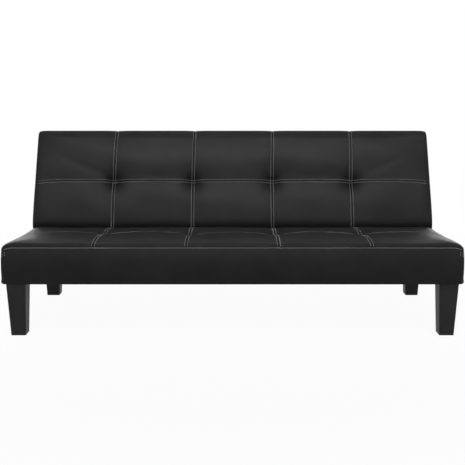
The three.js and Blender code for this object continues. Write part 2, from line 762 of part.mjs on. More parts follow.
function backProfile() {
  const lean = Math.tan(rad(FOLD_DEG / 2 + FORWARD_DEG + CREASE_SLACK_DEG));
  const shape = new THREE.Shape();
  shape.moveTo(BACK_START, BACK_BOTTOM);
  shape.lineTo(BACK_END - REAR_ROUND, BACK_BOTTOM);
  shape.absarc(BACK_END - REAR_ROUND, BACK_BOTTOM + REAR_ROUND, REAR_ROUND, -Math.PI / 2, 0);
  shape.absarc(BACK_END - EDGE_ROUND, BACK_TOP - EDGE_ROUND, EDGE_ROUND, 0, Math.PI / 2);
  shape.lineTo(AXIS_Y + BACK_FACE * lean, BACK_TOP);
  shape.lineTo(BACK_START, AXIS_Z + SECTION_GAP / 2 / lean);
  return shape;
}

function backInside(bottom, end, gap) {
  const lean = Math.tan(rad(FOLD_DEG / 2 + FORWARD_DEG + CREASE_SLACK_DEG));
  const top = BACK_TOP - QUILT - gap;
  const start = BACK_START + COVER + gap;
  return polygon([
    [start, bottom],
    [end, bottom],
    [end, top],
    [AXIS_Y + (BACK_TOP - QUILT - AXIS_Z) * lean + 2 * COVER + gap, top],
    [start, AXIS_Z - 3 * COVER],
  ]);
}

function backCover() {
  const outside = drawnX(backProfile(), -WIDTH / 2, WIDTH / 2, END_ROUND);
  const hollow = backInside(0, BACK_END - COVER, 0);
  const inside = drawnX(hollow, -WIDTH / 2 + COVER, WIDTH / 2 - COVER);
  return cut(outside, inside, ...hingeRoom(-SECTION_GAP, BACK_ROOM, BOARD_X + ROOM_IN_BOARD));
}

function backFoam() {
  const bottom = BACK_BOARD_TOP + 2 * FIT + WEBBING;
  const outline = backInside(bottom, BACK_END - COVER - FIT - FOAM_INSET, FIT);
  const whole = drawnX(outline, -FRAME_X + FOAM_INSET, FRAME_X - FOAM_INSET);
  return cut(whole, ...hingeRoom(0, BACK_ROOM + ARM_WIDTH + ROOM_IN_FOAM, WIDTH));
}

function backSideBoard() {
  const end = BACK_END - COVER - FIT - BOARD - FIT;
  return cut(
    block(BOARD_X, FRAME_X, BACK_START + COVER + FIT, end, BACK_BOARD_BOTTOM, BACK_BOARD_TOP),
    armBoltHole(BACK_ARM_FOOT),
  );
}

function buildBack() {
  const lowBoard = AXIS_Y + BACK_ROOM + ROOM_TO_BOARD; // lower face of the lower board
  const topFace = BACK_END - COVER - FIT;
  const levels = [BACK_BOARD_BOTTOM, BACK_BOARD_TOP];
  place(back, "back_top_board", block(-FRAME_X, FRAME_X, topFace - BOARD, topFace, ...levels), timber);
  placePair(back, "back_side_board", backSideBoard(), timber);
  const lowReach = OUTER_PLATE - FIT;
  const armSpace = drawnX(armOutline(BACK_ARM_FOOT).bar, RATCHET_PLATE - 2 * PAST, BOARD_X);
  place(
    back,
    "back_lower_board",
    cut(
      block(-lowReach, lowReach, lowBoard, lowBoard + BOARD, ...levels),
      armSpace,
      mirrored(armSpace),
    ),
    timber,
  );
  place(
    back,
    "back_centre_board",
    block(-BOARD / 2, BOARD / 2, lowBoard + BOARD + FIT, topFace - BOARD - FIT, ...levels),
    timber,
  );
  const straps = webbingMat(lowBoard, topFace - STAPLE_EDGE, BACK_BOARD_TOP + FIT, 2);
  place(back, "back_webbing", straps, webbing);
  place(back, "back_foam", backFoam(), foam);
  place(
    back,
    "back_rear_panel",
    cut(
      block(
        -FRAME_X,
        FRAME_X,
        BACK_START + COVER + FIT,
        topFace,
        BACK_BOTTOM,
        BACK_BOTTOM + REAR_PANEL,
      ),
      ...hingeRoom(0, BACK_ROOM, BOARD_X + ROOM_IN_BOARD),
    ),
    nonWoven,
  );
  place(back, "back_cover", backCover(), leather);
}

buildBase();
buildHinges();
buildSeat();
buildBack();

// The origin goes to the middle of the box around the sofa, on the floor.
sofa.updateMatrixWorld(true);
const bounds = new THREE.Box3().setFromObject(sofa, true);
sofa.position.y = -(bounds.min.y + bounds.max.y) / 2;

const part = new THREE.Group();
part.add(sofa);

export default part;
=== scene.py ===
# %% [markdown]
# # A click-clack sofa bed, built around its frame
#
# The steel base, the hinges, the boards and the four legs come ready made from the CAD model. What is
# missing is what a person sees and touches first: the quilted faux leather over the seat and the back.
# The whole lesson keeps to one rule: measure the frame, then build on it. A soft piece that takes its
# size from the frame still fits when the frame changes.

import json
import math

import bmesh
import bpy
import numpy as np
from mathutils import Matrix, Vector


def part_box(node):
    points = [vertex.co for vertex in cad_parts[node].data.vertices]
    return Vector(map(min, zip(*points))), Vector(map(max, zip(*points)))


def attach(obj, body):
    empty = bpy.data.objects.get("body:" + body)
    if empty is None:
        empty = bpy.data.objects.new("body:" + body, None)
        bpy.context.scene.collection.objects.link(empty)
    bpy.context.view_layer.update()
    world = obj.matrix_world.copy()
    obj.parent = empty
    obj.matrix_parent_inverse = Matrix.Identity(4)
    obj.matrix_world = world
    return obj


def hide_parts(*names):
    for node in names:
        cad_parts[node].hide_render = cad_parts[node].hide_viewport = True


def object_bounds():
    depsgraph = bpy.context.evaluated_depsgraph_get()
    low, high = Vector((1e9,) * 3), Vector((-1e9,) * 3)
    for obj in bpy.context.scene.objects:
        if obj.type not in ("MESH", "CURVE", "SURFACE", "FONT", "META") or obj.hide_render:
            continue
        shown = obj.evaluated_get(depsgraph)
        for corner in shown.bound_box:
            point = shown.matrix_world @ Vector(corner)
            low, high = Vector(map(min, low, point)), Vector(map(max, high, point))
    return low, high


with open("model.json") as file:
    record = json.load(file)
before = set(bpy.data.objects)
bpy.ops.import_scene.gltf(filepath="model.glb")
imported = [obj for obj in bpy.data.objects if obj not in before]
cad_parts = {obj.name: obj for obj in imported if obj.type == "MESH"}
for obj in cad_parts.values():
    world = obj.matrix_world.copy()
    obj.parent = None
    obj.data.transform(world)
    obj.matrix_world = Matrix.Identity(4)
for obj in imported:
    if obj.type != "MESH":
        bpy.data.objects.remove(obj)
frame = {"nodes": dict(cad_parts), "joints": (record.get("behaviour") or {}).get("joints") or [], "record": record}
cad_low, cad_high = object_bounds()
print("frame:", len(frame["nodes"]), "nodes,", "size", [round(v, 3) for v in cad_high - cad_low])

# %% [markdown]
# The hinge axis is the most useful line of this sofa. The seat lifts round it, the back folds round it,
# and the crease between the two cushions lies right above it. The back is easiest to draw as if it lay
# flat like the seat, so two small helpers turn points between lying flat and leaning.

# %% Where things are
MM = 0.001
joints = {joint["name"]: joint for joint in frame["joints"]}
AXIS_Y, AXIS_Z = joints["back_recline"]["pos_m"][1:]
FOLD = math.radians(joints["back_recline"]["range_deg"][1])
seat_low, seat_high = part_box("seat_cover")
HALF_WIDTH = seat_high.x


def lean(along, up):
    """Y and Z of a point of the back, given how far it lies past the axis and above it when flat."""
    y = AXIS_Y + along * math.cos(FOLD) - up * math.sin(FOLD)
    z = AXIS_Z + along * math.sin(FOLD) + up * math.cos(FOLD)
    return y, z


def lay_flat(y, z):
    """The opposite of lean."""
    y, z = y - AXIS_Y, z - AXIS_Z
    return y * math.cos(FOLD) + z * math.sin(FOLD), z * math.cos(FOLD) - y * math.sin(FOLD)


flat_back = np.array([lay_flat(v.co.y, v.co.z) for v in frame["nodes"]["back_cover"].data.vertices])
BACK_START, BACK_REAR = flat_back.min(0)
BACK_END, BACK_FACE = flat_back.max(0)
print("back lying flat:", round(BACK_START, 3), "to", round(BACK_END, 3), "face at", round(BACK_FACE, 3))

# %% [markdown]
# ## Camera
#
# The camera stands a little over three metres in front of the middle, well below the eyes of a person
# who stands, and looks a little down. A long lens keeps the two ends of a wide sofa from bulging.

# %% Camera
EYE = (0, -3.3116, 0.8976)
LOOK_DOWN = math.radians(9.84)
camera = bpy.data.objects.new("camera", bpy.data.cameras.new("camera"))
bpy.context.scene.collection.objects.link(camera)
camera.location = EYE
camera.rotation_euler = (math.radians(90) - LOOK_DOWN, 0, 0)
camera.data.lens = 64.1
camera.data.sensor_width = 36
bpy.context.scene.camera = camera
print("camera lens", round(camera.data.lens, 1), "mm")

# %% [markdown]
# ## Light
#
# Black leather shows what it reflects rather than its own colour. So the lamps are large and soft, and
# they stand where their reflections draw the form. The leaning back mirrors whatever is half way up the
# sky in front of it, so the main lamp hangs there, a little high, with a grid that narrows its beam on
# the top of the back: the back is brightest at its top edge and fades downwards. A long low lamp just
# above the camera, weak and with a still narrower beam, lifts the front panel and the legs. Two lamps
# behind the ends draw a light line along the rounded end of the seat, and two weak ones in front open up
# the legs. The world is white to the camera and to reflections, and a calm grey as a light source.

# %% A helper that joins nodes
def node(tree, kind, place=(0, 0), **settings):
    """A new shader node; a setting named like an input fills that input, any other is a property."""
    made = tree.nodes.new(kind)
    made.location = place
    for name, value in settings.items():
        label = name.replace("_", " ")
        if label in made.inputs:
            made.inputs[label].default_value = value
        else:
            setattr(made, name, value)
    return made


def seen_directly(tree):
    """1 for rays from the camera, from a reflection or through glass, 0 for light that scatters."""
    path = node(tree, "ShaderNodeLightPath", (-800, 0))
    shiny = node(tree, "ShaderNodeMath", (-600, 0), operation="MAXIMUM")
    any_of = node(tree, "ShaderNodeMath", (-400, 0), operation="MAXIMUM")
    tree.links.new(path.outputs["Is Glossy Ray"], shiny.inputs[0])
    tree.links.new(path.outputs["Is Transmission Ray"], shiny.inputs[1])
    tree.links.new(path.outputs["Is Camera Ray"], any_of.inputs[0])
    tree.links.new(shiny.outputs[0], any_of.inputs[1])
    return any_of.outputs[0]


print("node:", node.__doc__)

# %% The world
scene = bpy.context.scene
scene.view_settings.view_transform = "Standard"
world = bpy.data.worlds.new("studio")
scene.world = world
world.use_nodes = True
tree = world.node_tree
tree.nodes.clear()
white = node(tree, "ShaderNodeBackground", (-200, 100), Color=(1, 1, 1, 1), Strength=1.0)
grey = node(tree, "ShaderNodeBackground", (-200, -100), Color=(1, 1, 1, 1), Strength=0.32)
mix = node(tree, "ShaderNodeMixShader", (0, 0))
out = node(tree, "ShaderNodeOutputWorld", (200, 0))
tree.links.new(seen_directly(tree), mix.inputs[0])
tree.links.new(grey.outputs[0], mix.inputs[1])
tree.links.new(white.outputs[0], mix.inputs[2])
tree.links.new(mix.outputs[0], out.inputs[0])
print("world:", len(tree.nodes), "nodes")


# %% The lamps
def lamp(name, place, target, size, power, spread=180):
    """A rectangular lamp at a place, turned towards a target; a small spread narrows its beam."""
    light = bpy.data.lights.new(name, "AREA")
    light.shape = "RECTANGLE"
    light.size, light.size_y = size
    light.energy = power
    light.spread = math.radians(spread)
    holder = bpy.data.objects.new(name, light)
    scene.collection.objects.link(holder)
    holder.location = place
    aim = holder.location - Vector(target)
    holder.rotation_euler = aim.to_track_quat("Z", "Y").to_euler()


middle = (0, 0, cad_high.z * 0.5)
back_top = (0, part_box("back_cover")[1].y, cad_high.z)
lamp("key_lamp", (0, -1.9, 3.25), back_top, (3.4, 0.9), 15, spread=50)
leg_tops = (0, seat_low.y, 0.25)
lamp("strip_lamp", (0, -3.3, 1.2), leg_tops, (3.0, 0.4), 1.3, spread=20)
for side in (-1, 1):
    lamp("front_lamp", (side * 3.0, -2.6, 1.5), middle, (1.4, 1.4), 12)
    lamp("rim_lamp", (side * 2.3, 2.7, 1.2), middle, (1.2, 0.8), 13)

# %% [markdown]
# The floor is a plain pale sheet. It takes the sofa's shadow like any matt floor, and adds most of its
# brightness as seen by the camera, so the shadow stays faint. Further out it adds all of it, so that the
# floor melts into the white behind it without a line.

# %% Floor
def plain_floor(side=30.0, glow=0.95):
    """A square sheet; glow is the share of its own light seen by the camera close to the sofa."""
    points = [(x * side, y * side, 0) for x, y in ((-1, -1), (1, -1), (1, 1), (-1, 1))]
    mesh = bpy.data.meshes.new("floor")
    mesh.from_pydata(points, [], [(0, 1, 2, 3)])
    floor = bpy.data.objects.new("floor", mesh)
    scene.collection.objects.link(floor)
    paint = bpy.data.materials.new("pale_floor")
    paint.use_nodes = True
    tree = paint.node_tree
    tree.nodes.clear()
    matt = node(tree, "ShaderNodeBsdfDiffuse", (-200, 100), Color=(0.8, 0.8, 0.8, 1))
    bright = node(tree, "ShaderNodeEmission", (-200, -100), Color=(1, 1, 1, 1), Strength=1.0)
    place = node(tree, "ShaderNodeTexCoord", (-800, 400))
    reach = node(tree, "ShaderNodeVectorMath", (-600, 400), operation="LENGTH")
    far = node(tree, "ShaderNodeMapRange", (-400, 400), From_Min=1.1, From_Max=3.0, To_Min=glow, To_Max=1.0)
    share = node(tree, "ShaderNodeMath", (-200, 300), operation="MULTIPLY")
    tree.links.new(place.outputs["Object"], reach.inputs[0])
    tree.links.new(reach.outputs["Value"], far.inputs["Value"])
    tree.links.new(far.outputs["Result"], share.inputs[1])
    mix = node(tree, "ShaderNodeMixShader", (0, 0))
    out = node(tree, "ShaderNodeOutputMaterial", (200, 0))
    tree.links.new(seen_directly(tree), share.inputs[0])
    tree.links.new(share.outputs[0], mix.inputs[0])
    tree.links.new(matt.outputs[0], mix.inputs[1])
    tree.links.new(bright.outputs[0], mix.inputs[2])
    tree.links.new(mix.outputs[0], out.inputs[0])
    mesh.materials.append(paint)
    return floor


floor = plain_floor()
print("floor", round(floor.dimensions.x), "m wide")

# %% [markdown]
# ## Materials
#
# Every finish here is a Principled shader with a few textures in front of it. One helper makes the
# start that they share: a pattern in the object's own space, a colour that drifts between two tones, a
# roughness that drifts with it, and a fine relief. What is the same all over goes straight on the
# shader's own sockets.

# %% The start that all finishes share
def finish(name, tones, rough, drift, **shader):
    """A material whose colour runs between two tones and whose roughness runs between two values."""
    made = bpy.data.materials.new(name)
    made.use_nodes = True
    tree = made.node_tree
    principled = tree.nodes["Principled BSDF"]
    for label, value in shader.items():
        principled.inputs[label.replace("_", " ")].default_value = value
    space = node(tree, "ShaderNodeTexCoord", (-1200, 0))
    noise = node(tree, "ShaderNodeTexNoise", (-900, 200), Scale=drift, Detail=5.0, Roughness=0.6)
    tree.links.new(space.outputs["Object"], noise.inputs["Vector"])
    colour = node(tree, "ShaderNodeValToRGB", (-600, 300))
    colour.color_ramp.elements[0].position, colour.color_ramp.elements[1].position = 0.3, 0.72
    colour.color_ramp.elements[0].color = (*tones[0], 1)
    colour.color_ramp.elements[1].color = (*tones[1], 1)
    tree.links.new(noise.outputs["Fac"], colour.inputs["Fac"])
    tree.links.new(colour.outputs["Color"], principled.inputs["Base Color"])
    shine = node(tree, "ShaderNodeMapRange", (-600, 0))
    shine.inputs["To Min"].default_value, shine.inputs["To Max"].default_value = rough
    tree.links.new(noise.outputs["Fac"], shine.inputs["Value"])
    tree.links.new(shine.outputs["Result"], principled.inputs["Roughness"])
    return made, tree, principled, space


def relief(tree, principled, heights):
    """Stacks bumps, each given as (height output, distance in metres, strength)."""
    before = None
    for i, (height, distance, strength) in enumerate(heights):
        bump = node(tree, "ShaderNodeBump", (-250, -200 - 180 * i), Strength=strength, Distance=distance)
        tree.links.new(height, bump.inputs["Height"])
        if before is not None:
            tree.links.new(before.outputs["Normal"], bump.inputs["Normal"])
        before = bump
    tree.links.new(before.outputs["Normal"], principled.inputs["Normal"])


finishes = {}
print("finishes made so far:", len(finishes))

# %% [markdown]
# Faux leather is a thin plastic skin pressed with a pebbled grain. Up close it is a field of small
# rounded cells with darker valleys between them; from afar it is a soft satin black whose shine wanders
# a little. Voronoi cells give the pebbles, and a second, finer pattern breaks them up. Deep in a tuft, a
# seam or the crease the colour is painted darker, as painted shade for the shadow that falls there, and
# the roughness rises. The covers carry a number at every point, from 0 to 1, which follows how deep in a
# fold that point lies and says how much painted shade it gets there.

# %% Faux leather
def faux_leather():
    made, tree, principled, space = finish(
        "black_faux_leather",
        tones=((0.0105, 0.0105, 0.0108), (0.0155, 0.0155, 0.0158)),
        rough=(0.36, 0.45),
        drift=9.0,
        Specular_IOR_Level=0.065,
    )
    # Painted shade: where the fold number is high, the colour is mixed towards near black for the shadow in tufts,
    # seams and the crease, and the roughness rises.
    depth = node(tree, "ShaderNodeAttribute", (-600, 700), attribute_name="fold_shade")
    dark = node(tree, "ShaderNodeMix", (-300, 500), data_type="RGBA")
    dark.inputs["B"].default_value = (0.0015, 0.0015, 0.0016, 1)
    dull = node(tree, "ShaderNodeMath", (-300, 50), operation="MULTIPLY_ADD", use_clamp=True)
    dull.inputs[1].default_value = 0.5
    tone = principled.inputs["Base Color"].links[0].from_socket
    shine = principled.inputs["Roughness"].links[0].from_socket
    tree.links.new(depth.outputs["Fac"], dark.inputs["Factor"])
    tree.links.new(tone, dark.inputs["A"])
    tree.links.new(dark.outputs["Result"], principled.inputs["Base Color"])
    tree.links.new(depth.outputs["Fac"], dull.inputs[0])
    tree.links.new(shine, dull.inputs[2])
    tree.links.new(dull.outputs[0], principled.inputs["Roughness"])
    pebbles = node(tree, "ShaderNodeTexVoronoi", (-900, -250), Scale=620.0, Randomness=0.9)
    valleys = node(tree, "ShaderNodeTexVoronoi", (-900, -500), feature="DISTANCE_TO_EDGE", Scale=310.0)
    pores = node(tree, "ShaderNodeTexNoise", (-900, -750), Scale=1900.0, Detail=3.0)
    sag = node(tree, "ShaderNodeTexNoise", (-900, -1000), Scale=26.0, Detail=4.0, Roughness=0.55)
    for pattern in (pebbles, valleys, pores, sag):
        tree.links.new(space.outputs["Object"], pattern.inputs["Vector"])
    relief(
        tree,
        principled,
        [
            (sag.outputs["Fac"], 0.002, 0.15),
            (pebbles.outputs["Distance"], 0.0005, 0.2),
            (valleys.outputs["Distance"], 0.0006, 0.16),
            (pores.outputs["Fac"], 0.0002, 0.12),
        ],
    )
    return made


leather = finishes["cover_leather"] = faux_leather()
print(leather.name, "has", len(leather.node_tree.nodes), "nodes")

# %% [markdown]
# The stitches are thick polyester thread of two twisted plies. A wave pattern that runs slantwise
# across the thread draws the twist.

# %% Thread
def twisted_thread():
    made, tree, principled, space = finish(
        "pale_thread",
        tones=((0.30, 0.30, 0.295), (0.46, 0.46, 0.45)),
        rough=(0.5, 0.68),
        drift=60.0,
        Sheen_Weight=0.25,
    )
    plies = node(
        tree, "ShaderNodeTexWave", (-900, -300), bands_direction="DIAGONAL", Scale=420.0, Distortion=1.5
    )
    tree.links.new(space.outputs["Object"], plies.inputs["Vector"])
    relief(tree, principled, [(plies.outputs["Fac"], 0.0003, 0.5)])
    return made


thread = twisted_thread()
print(thread.name, "has", len(thread.node_tree.nodes), "nodes")

# %% [markdown]
# The legs are moulded in black plastic with a matt, slightly combed texture, so that scratches don't
# show. Stretching a noise along Z gives the combing.

# %% Moulded plastic
def moulded_plastic():
    made, tree, principled, space = finish(
        "black_moulded_plastic",
        tones=((0.013, 0.013, 0.0135), (0.019, 0.019, 0.0195)),
        rough=(0.42, 0.56),
        drift=14.0,
        Specular_IOR_Level=0.13,
    )
    stretch = node(tree, "ShaderNodeMapping", (-1050, -350))
    stretch.inputs["Scale"].default_value = (260.0, 260.0, 14.0)
    combed = node(tree, "ShaderNodeTexNoise", (-850, -350), Scale=1.0, Detail=6.0, Roughness=0.65)
    pits = node(tree, "ShaderNodeTexNoise", (-850, -600), Scale=900.0, Detail=2.0)
    tree.links.new(space.outputs["Object"], stretch.inputs["Vector"])
    tree.links.new(stretch.outputs["Vector"], combed.inputs["Vector"])
    tree.links.new(space.outputs["Object"], pits.inputs["Vector"])
    relief(tree, principled, [(combed.outputs["Fac"], 0.0009, 0.35), (pits.outputs["Fac"], 0.0002, 0.35)])
    return made


finishes["leg_plastic"] = moulded_plastic()
print("finishes made so far:", len(finishes))

# %% [markdown]
# The steel parts wear two finishes. The base and the arms are powder coated, which dries with a faint
# orange peel. The pins, pawls and bolts are zinc plated, a pale metal with cloudy patches.

# %% Powder coat and zinc
def powder_coat():
    made, tree, principled, space = finish(
        "black_powder_coat",
        tones=((0.013, 0.013, 0.014), (0.024, 0.024, 0.025)),
        rough=(0.36, 0.55),
        drift=22.0,
        Specular_IOR_Level=0.5,
    )
    peel = node(tree, "ShaderNodeTexNoise", (-900, -300), Scale=420.0, Detail=2.0)
    tree.links.new(space.outputs["Object"], peel.inputs["Vector"])
    relief(tree, principled, [(peel.outputs["Fac"], 0.0004, 0.4)])
    return made


def zinc_plate():
    made, tree, principled, space = finish(
        "zinc_plate",
        tones=((0.40, 0.41, 0.43), (0.60, 0.61, 0.62)),
        rough=(0.24, 0.46),
        drift=90.0,
        Metallic=1.0,
    )
    scratches = node(tree, "ShaderNodeTexNoise", (-900, -300), Scale=1500.0, Detail=3.0)
    tree.links.new(space.outputs["Object"], scratches.inputs["Vector"])
    relief(tree, principled, [(scratches.outputs["Fac"], 0.0001, 0.3)])
    return made


finishes["black_steel"] = powder_coat()
zinc = finishes["zinc_steel"] = zinc_plate()
print("finishes made so far:", len(finishes))

# %% [markdown]
# Inside are cheap, honest materials: pine boards with lengthwise grain, open-cell foam full of small
# bubbles, woven elastic webbing, rubber pads, and a felt-like black dust cloth. Each gets the pattern
# that tells it apart.

# %% Pine and foam
def pine():
    made, tree, principled, space = finish(
        "pine_board",
        tones=((0.46, 0.30, 0.15), (0.62, 0.45, 0.26)),
        rough=(0.55, 0.75),
        drift=6.0,
    )
    stretch = node(tree, "ShaderNodeMapping", (-1050, -300))
    stretch.inputs["Scale"].default_value = (3.0, 40.0, 60.0)
    grain = node(tree, "ShaderNodeTexNoise", (-850, -300), Scale=3.0, Detail=8.0, Roughness=0.7)
    tree.links.new(space.outputs["Object"], stretch.inputs["Vector"])
    tree.links.new(stretch.outputs["Vector"], grain.inputs["Vector"])
    relief(tree, principled, [(grain.outputs["Fac"], 0.0008, 0.45)])
    return made


def open_foam():
    made, tree, principled, space = finish(
        "open_foam",
        tones=((0.70, 0.62, 0.43), (0.82, 0.75, 0.56)),
        rough=(0.85, 0.97),
        drift=12.0,
        Subsurface_Weight=0.05,
    )
    bubbles = node(tree, "ShaderNodeTexVoronoi", (-900, -300), Scale=700.0)
    tree.links.new(space.outputs["Object"], bubbles.inputs["Vector"])
    relief(tree, principled, [(bubbles.outputs["Distance"], 0.0008, 0.6)])
    return made


finishes["timber"] = pine()
finishes["foam"] = open_foam()
print("finishes made so far:", len(finishes))


# %% Webbing, rubber and dust cloth
def woven(name, tones, threads, depth):
    """Cloth whose two sets of threads are two crossed waves."""
    made, tree, principled, space = finish(
        name, tones=tones, rough=(0.78, 0.95), drift=30.0, Sheen_Weight=0.2
    )
    warp = node(tree, "ShaderNodeTexWave", (-900, -250), bands_direction="X", Scale=threads)
    weft = node(tree, "ShaderNodeTexWave", (-900, -500), bands_direction="Y", Scale=threads)
    for pattern in (warp, weft):
        tree.links.new(space.outputs["Object"], pattern.inputs["Vector"])
    relief(tree, principled, [(warp.outputs["Fac"], depth, 0.5), (weft.outputs["Fac"], depth, 0.5)])
    return made


def rubber():
    made, tree, principled, space = finish(
        "black_rubber", tones=((0.009, 0.009, 0.009), (0.02, 0.02, 0.02)), rough=(0.7, 0.9), drift=50.0
    )
    dust = node(tree, "ShaderNodeTexNoise", (-900, -300), Scale=800.0, Detail=2.0)
    tree.links.new(space.outputs["Object"], dust.inputs["Vector"])
    relief(tree, principled, [(dust.outputs["Fac"], 0.0003, 0.4)])
    return made


def dust_cloth():
    made, tree, principled, space = finish(
        "black_dust_cloth",
        tones=((0.008, 0.008, 0.009), (0.022, 0.022, 0.024)),
        rough=(0.85, 1.0),
        drift=140.0,
        Sheen_Weight=0.15,
    )
    fibres = node(tree, "ShaderNodeTexNoise", (-900, -300), Scale=650.0, Detail=6.0, Distortion=1.2)
    dimples = node(tree, "ShaderNodeTexVoronoi", (-900, -550), Scale=330.0, Randomness=0.15)
    for pattern in (fibres, dimples):
        tree.links.new(space.outputs["Object"], pattern.inputs["Vector"])
    fibre_relief = (fibres.outputs["Fac"], 0.0005, 0.5)
    dimple_relief = (dimples.outputs["Distance"], 0.0006, 0.4)
    relief(tree, principled, [fibre_relief, dimple_relief])
    return made


WEBBING_TONES = ((0.035, 0.038, 0.045), (0.075, 0.08, 0.09))
finishes["webbing"] = woven("elastic_webbing", WEBBING_TONES, threads=160.0, depth=0.0006)
finishes["rubber"] = rubber()
finishes["backing_fabric"] = dust_cloth()
print("finishes made so far:", len(finishes))

# %% [markdown]
# The frame's record says which material slot each node belongs to, so one table from slot to finish
# paints all of them. A narrow bevel on top of each hard part lets its edges catch a line of light, as
# every real edge does. A modifier leaves the CAD mesh itself alone.

# %% Paint the frame
ROUNDED_EDGE = {"leg_plastic": 1.6 * MM, "timber": 1.5 * MM, "black_steel": 0.8 * MM, "rubber": 0.8 * MM}
for part in frame["record"]["subparts"]:
    piece = frame["nodes"][part["node"]]
    slot = part["material_slot"]
    piece.data.materials.clear()
    piece.data.materials.append(finishes[slot])
    if slot in ROUNDED_EDGE:
        bevel = piece.modifiers.new("soft_edges", "BEVEL")
        bevel.width = ROUNDED_EDGE[slot]
        bevel.segments = 2
        bevel.limit_method = "ANGLE"
        bevel.angle_limit = math.radians(40)
        bevel.harden_normals = True

# %% [markdown]
# ## A cover as a grid
#
# Upholstery is cut from flat panels and sewn, so each cover has two natural directions: along the
# outline of its side view, and across the sofa. That makes a grid of points the best start. Its rows
# follow the outline, its columns run across, and both stand closer together near a seam, where the
# shape changes quickly. A sculpted or remeshed blob would need ten times the points for the same seam.

# %% Curves through a few points
def hermite(marks, values, at):
    """Smooth interpolation of values, known at the marks, at other places."""
    marks, values, at = np.asarray(marks), np.asarray(values, float), np.asarray(at)
    gaps = np.diff(marks)
    shape = (-1,) + (1,) * (values.ndim - 1)
    slope = np.diff(values, axis=0) / gaps.reshape(shape)
    bend = np.empty_like(values)
    bend[0], bend[-1] = slope[0], slope[-1]
    share = (gaps[:-1] / (gaps[:-1] + gaps[1:])).reshape(shape)
    bend[1:-1] = slope[:-1] * (1 - share) + slope[1:] * share
    i = np.clip(np.searchsorted(marks, at, side="right") - 1, 0, len(gaps) - 1)
    h = gaps[i].reshape(shape)
    t = ((at - marks[i]) / gaps[i]).reshape(shape)
    start, end = values[i], values[i + 1]
    return (
        start * (1 + 2 * t) * (1 - t) ** 2
        + end * t**2 * (3 - 2 * t)
        + h * t * (1 - t) * (bend[i] * (1 - t) - bend[i + 1] * t)
    )


def outline_of(points):
    """A smooth outline through points in millimetres, as a place function of its length in metres."""
    points = np.array(points, float) * MM
    marks = np.concatenate([[0], np.cumsum(np.linalg.norm(np.diff(points, axis=0), axis=1))])
    return marks, lambda at: hermite(marks, points, at)


def spread(start, end, pitch, seams, close):
    """Places from start to end about a pitch apart, with a set of close ones round every seam."""
    even = np.linspace(start, end, int(round((end - start) / pitch)) + 1)
    near = np.array([seam + side * step for seam in seams for step in close for side in (-1, 1)])
    near = near[(near > start) & (near < end)] if len(near) else near
    keep = [v for v in even[1:-1] if not len(near) or np.abs(near - v).min() > 0.4 * pitch]
    return np.unique(np.round(np.concatenate([[start, end], keep, near]), 7))


print("a curve through 3 points:", hermite([0, 1, 2], [0.0, 1.0, 0.0], [0.5, 1.5]))

# %% [markdown]
# At its left and right end a cushion rounds off and then turns into a side panel. Both belong to the
# same grid. Over the last 45 mm the top draws down along a quarter of an ellipse, and the side panel is
# filled with rings that run from there to the open edge. The wadding pushes the panel out by a
# few millimetres too, so it is crowned rather than flat.

# %% Points of a whole cover
END_ROLL = 45 * MM
END_STEPS = np.sin(np.linspace(0, math.pi / 2, 13)[1:])
CLOSE = np.array([0, 1.3, 2.9, 5.5, 8.5, 13, 19]) * MM
COLUMN_SEAMS = np.array([-504, -168, 168, 504]) * MM
FINE_PITCH = 6 * MM
FINE_RINGS = 8
THIN_PANEL = 15 * MM
BEYOND = 10 * MM


def cover_grid(rows, place, columns, end_steps, draw_in, drop, rings, crown):
    """Points [row, column] of a cover, and a number for each column that grows from left to right.

    rows are lengths along the outline and columns are X values. In the side panels, where X hardly
    changes, the number goes on growing past the cover's half width, one step for each ring.
    """
    side = HALF_WIDTH - END_ROLL + end_steps * END_ROLL
    x = np.concatenate([-side[::-1], columns, side])
    pull = np.concatenate([end_steps[::-1], 0 * columns, end_steps])
    outline = place(rows)
    rounded = 1 - np.sqrt(1 - pull**2)
    cornered = 1 - (1 - pull**3.5) ** (1 / 3.5)
    along = outline[:, :1] + draw_in(outline)[:, None] * cornered
    up = outline[:, 1:] - drop(outline)[:, None] * rounded
    sheet = np.stack([np.broadcast_to(x, along.shape), along, up], axis=-1)
    share = (rows / rows[-1])[:, None]
    panels = []
    for edge in (sheet[:, 0], sheet[:, -1]):
        foot = edge[:1] * (1 - share) + edge[-1:] * share
        steps = (np.arange(1, rings + 1) / rings)[None, :, None]
        panel = edge[:, None] * (1 - steps) + foot[:, None] * steps
        span = np.linalg.norm(edge - foot, axis=-1)[:, None]
        panel[..., 0] += np.sign(edge[0, 0]) * crown(steps[..., 0]) * np.clip(span / THIN_PANEL, 0, 1)
        panels.append(panel)
    sheet = np.concatenate([panels[0][:, ::-1], sheet, panels[1]], axis=1)
    beyond = HALF_WIDTH + np.arange(1, rings + 1) * BEYOND
    across = np.concatenate([-beyond[::-1], x, beyond])
    return sheet, across


def quads(rows, columns):
    """The four corners of every face of a grid, as numbers of its points."""
    index = np.arange(rows * columns).reshape(rows, columns)
    return np.stack([index[:-1, :-1], index[:-1, 1:], index[1:, 1:], index[1:, :-1]], -1)


def outward(sheet):
    """Unit normals of a grid of points."""
    normal = np.cross(np.gradient(sheet, axis=1), np.gradient(sheet, axis=0))
    size = np.linalg.norm(normal, axis=-1, keepdims=True)
    flat_end = np.zeros_like(normal)
    flat_end[..., 0] = np.sign(sheet[..., 0])
    return np.where(size > 1e-9, normal / np.maximum(size, 1e-9), flat_end)


print("side panel starts", END_ROLL / MM, "mm from the end")

# %% [markdown]
# ## Filling a cover
#
# A padded panel is held down where it is sewn or tufted and swells everywhere else. Cloth simulation
# finds that shape by itself. A coarse copy of the cover is pinned at its sewn edges and tufts, blown up
# from inside with gravity off, and stopped after twenty steps. Only how far each point rose is kept,
# scaled to the height that the wadding really has, and the fine cover then rises by the same amount.

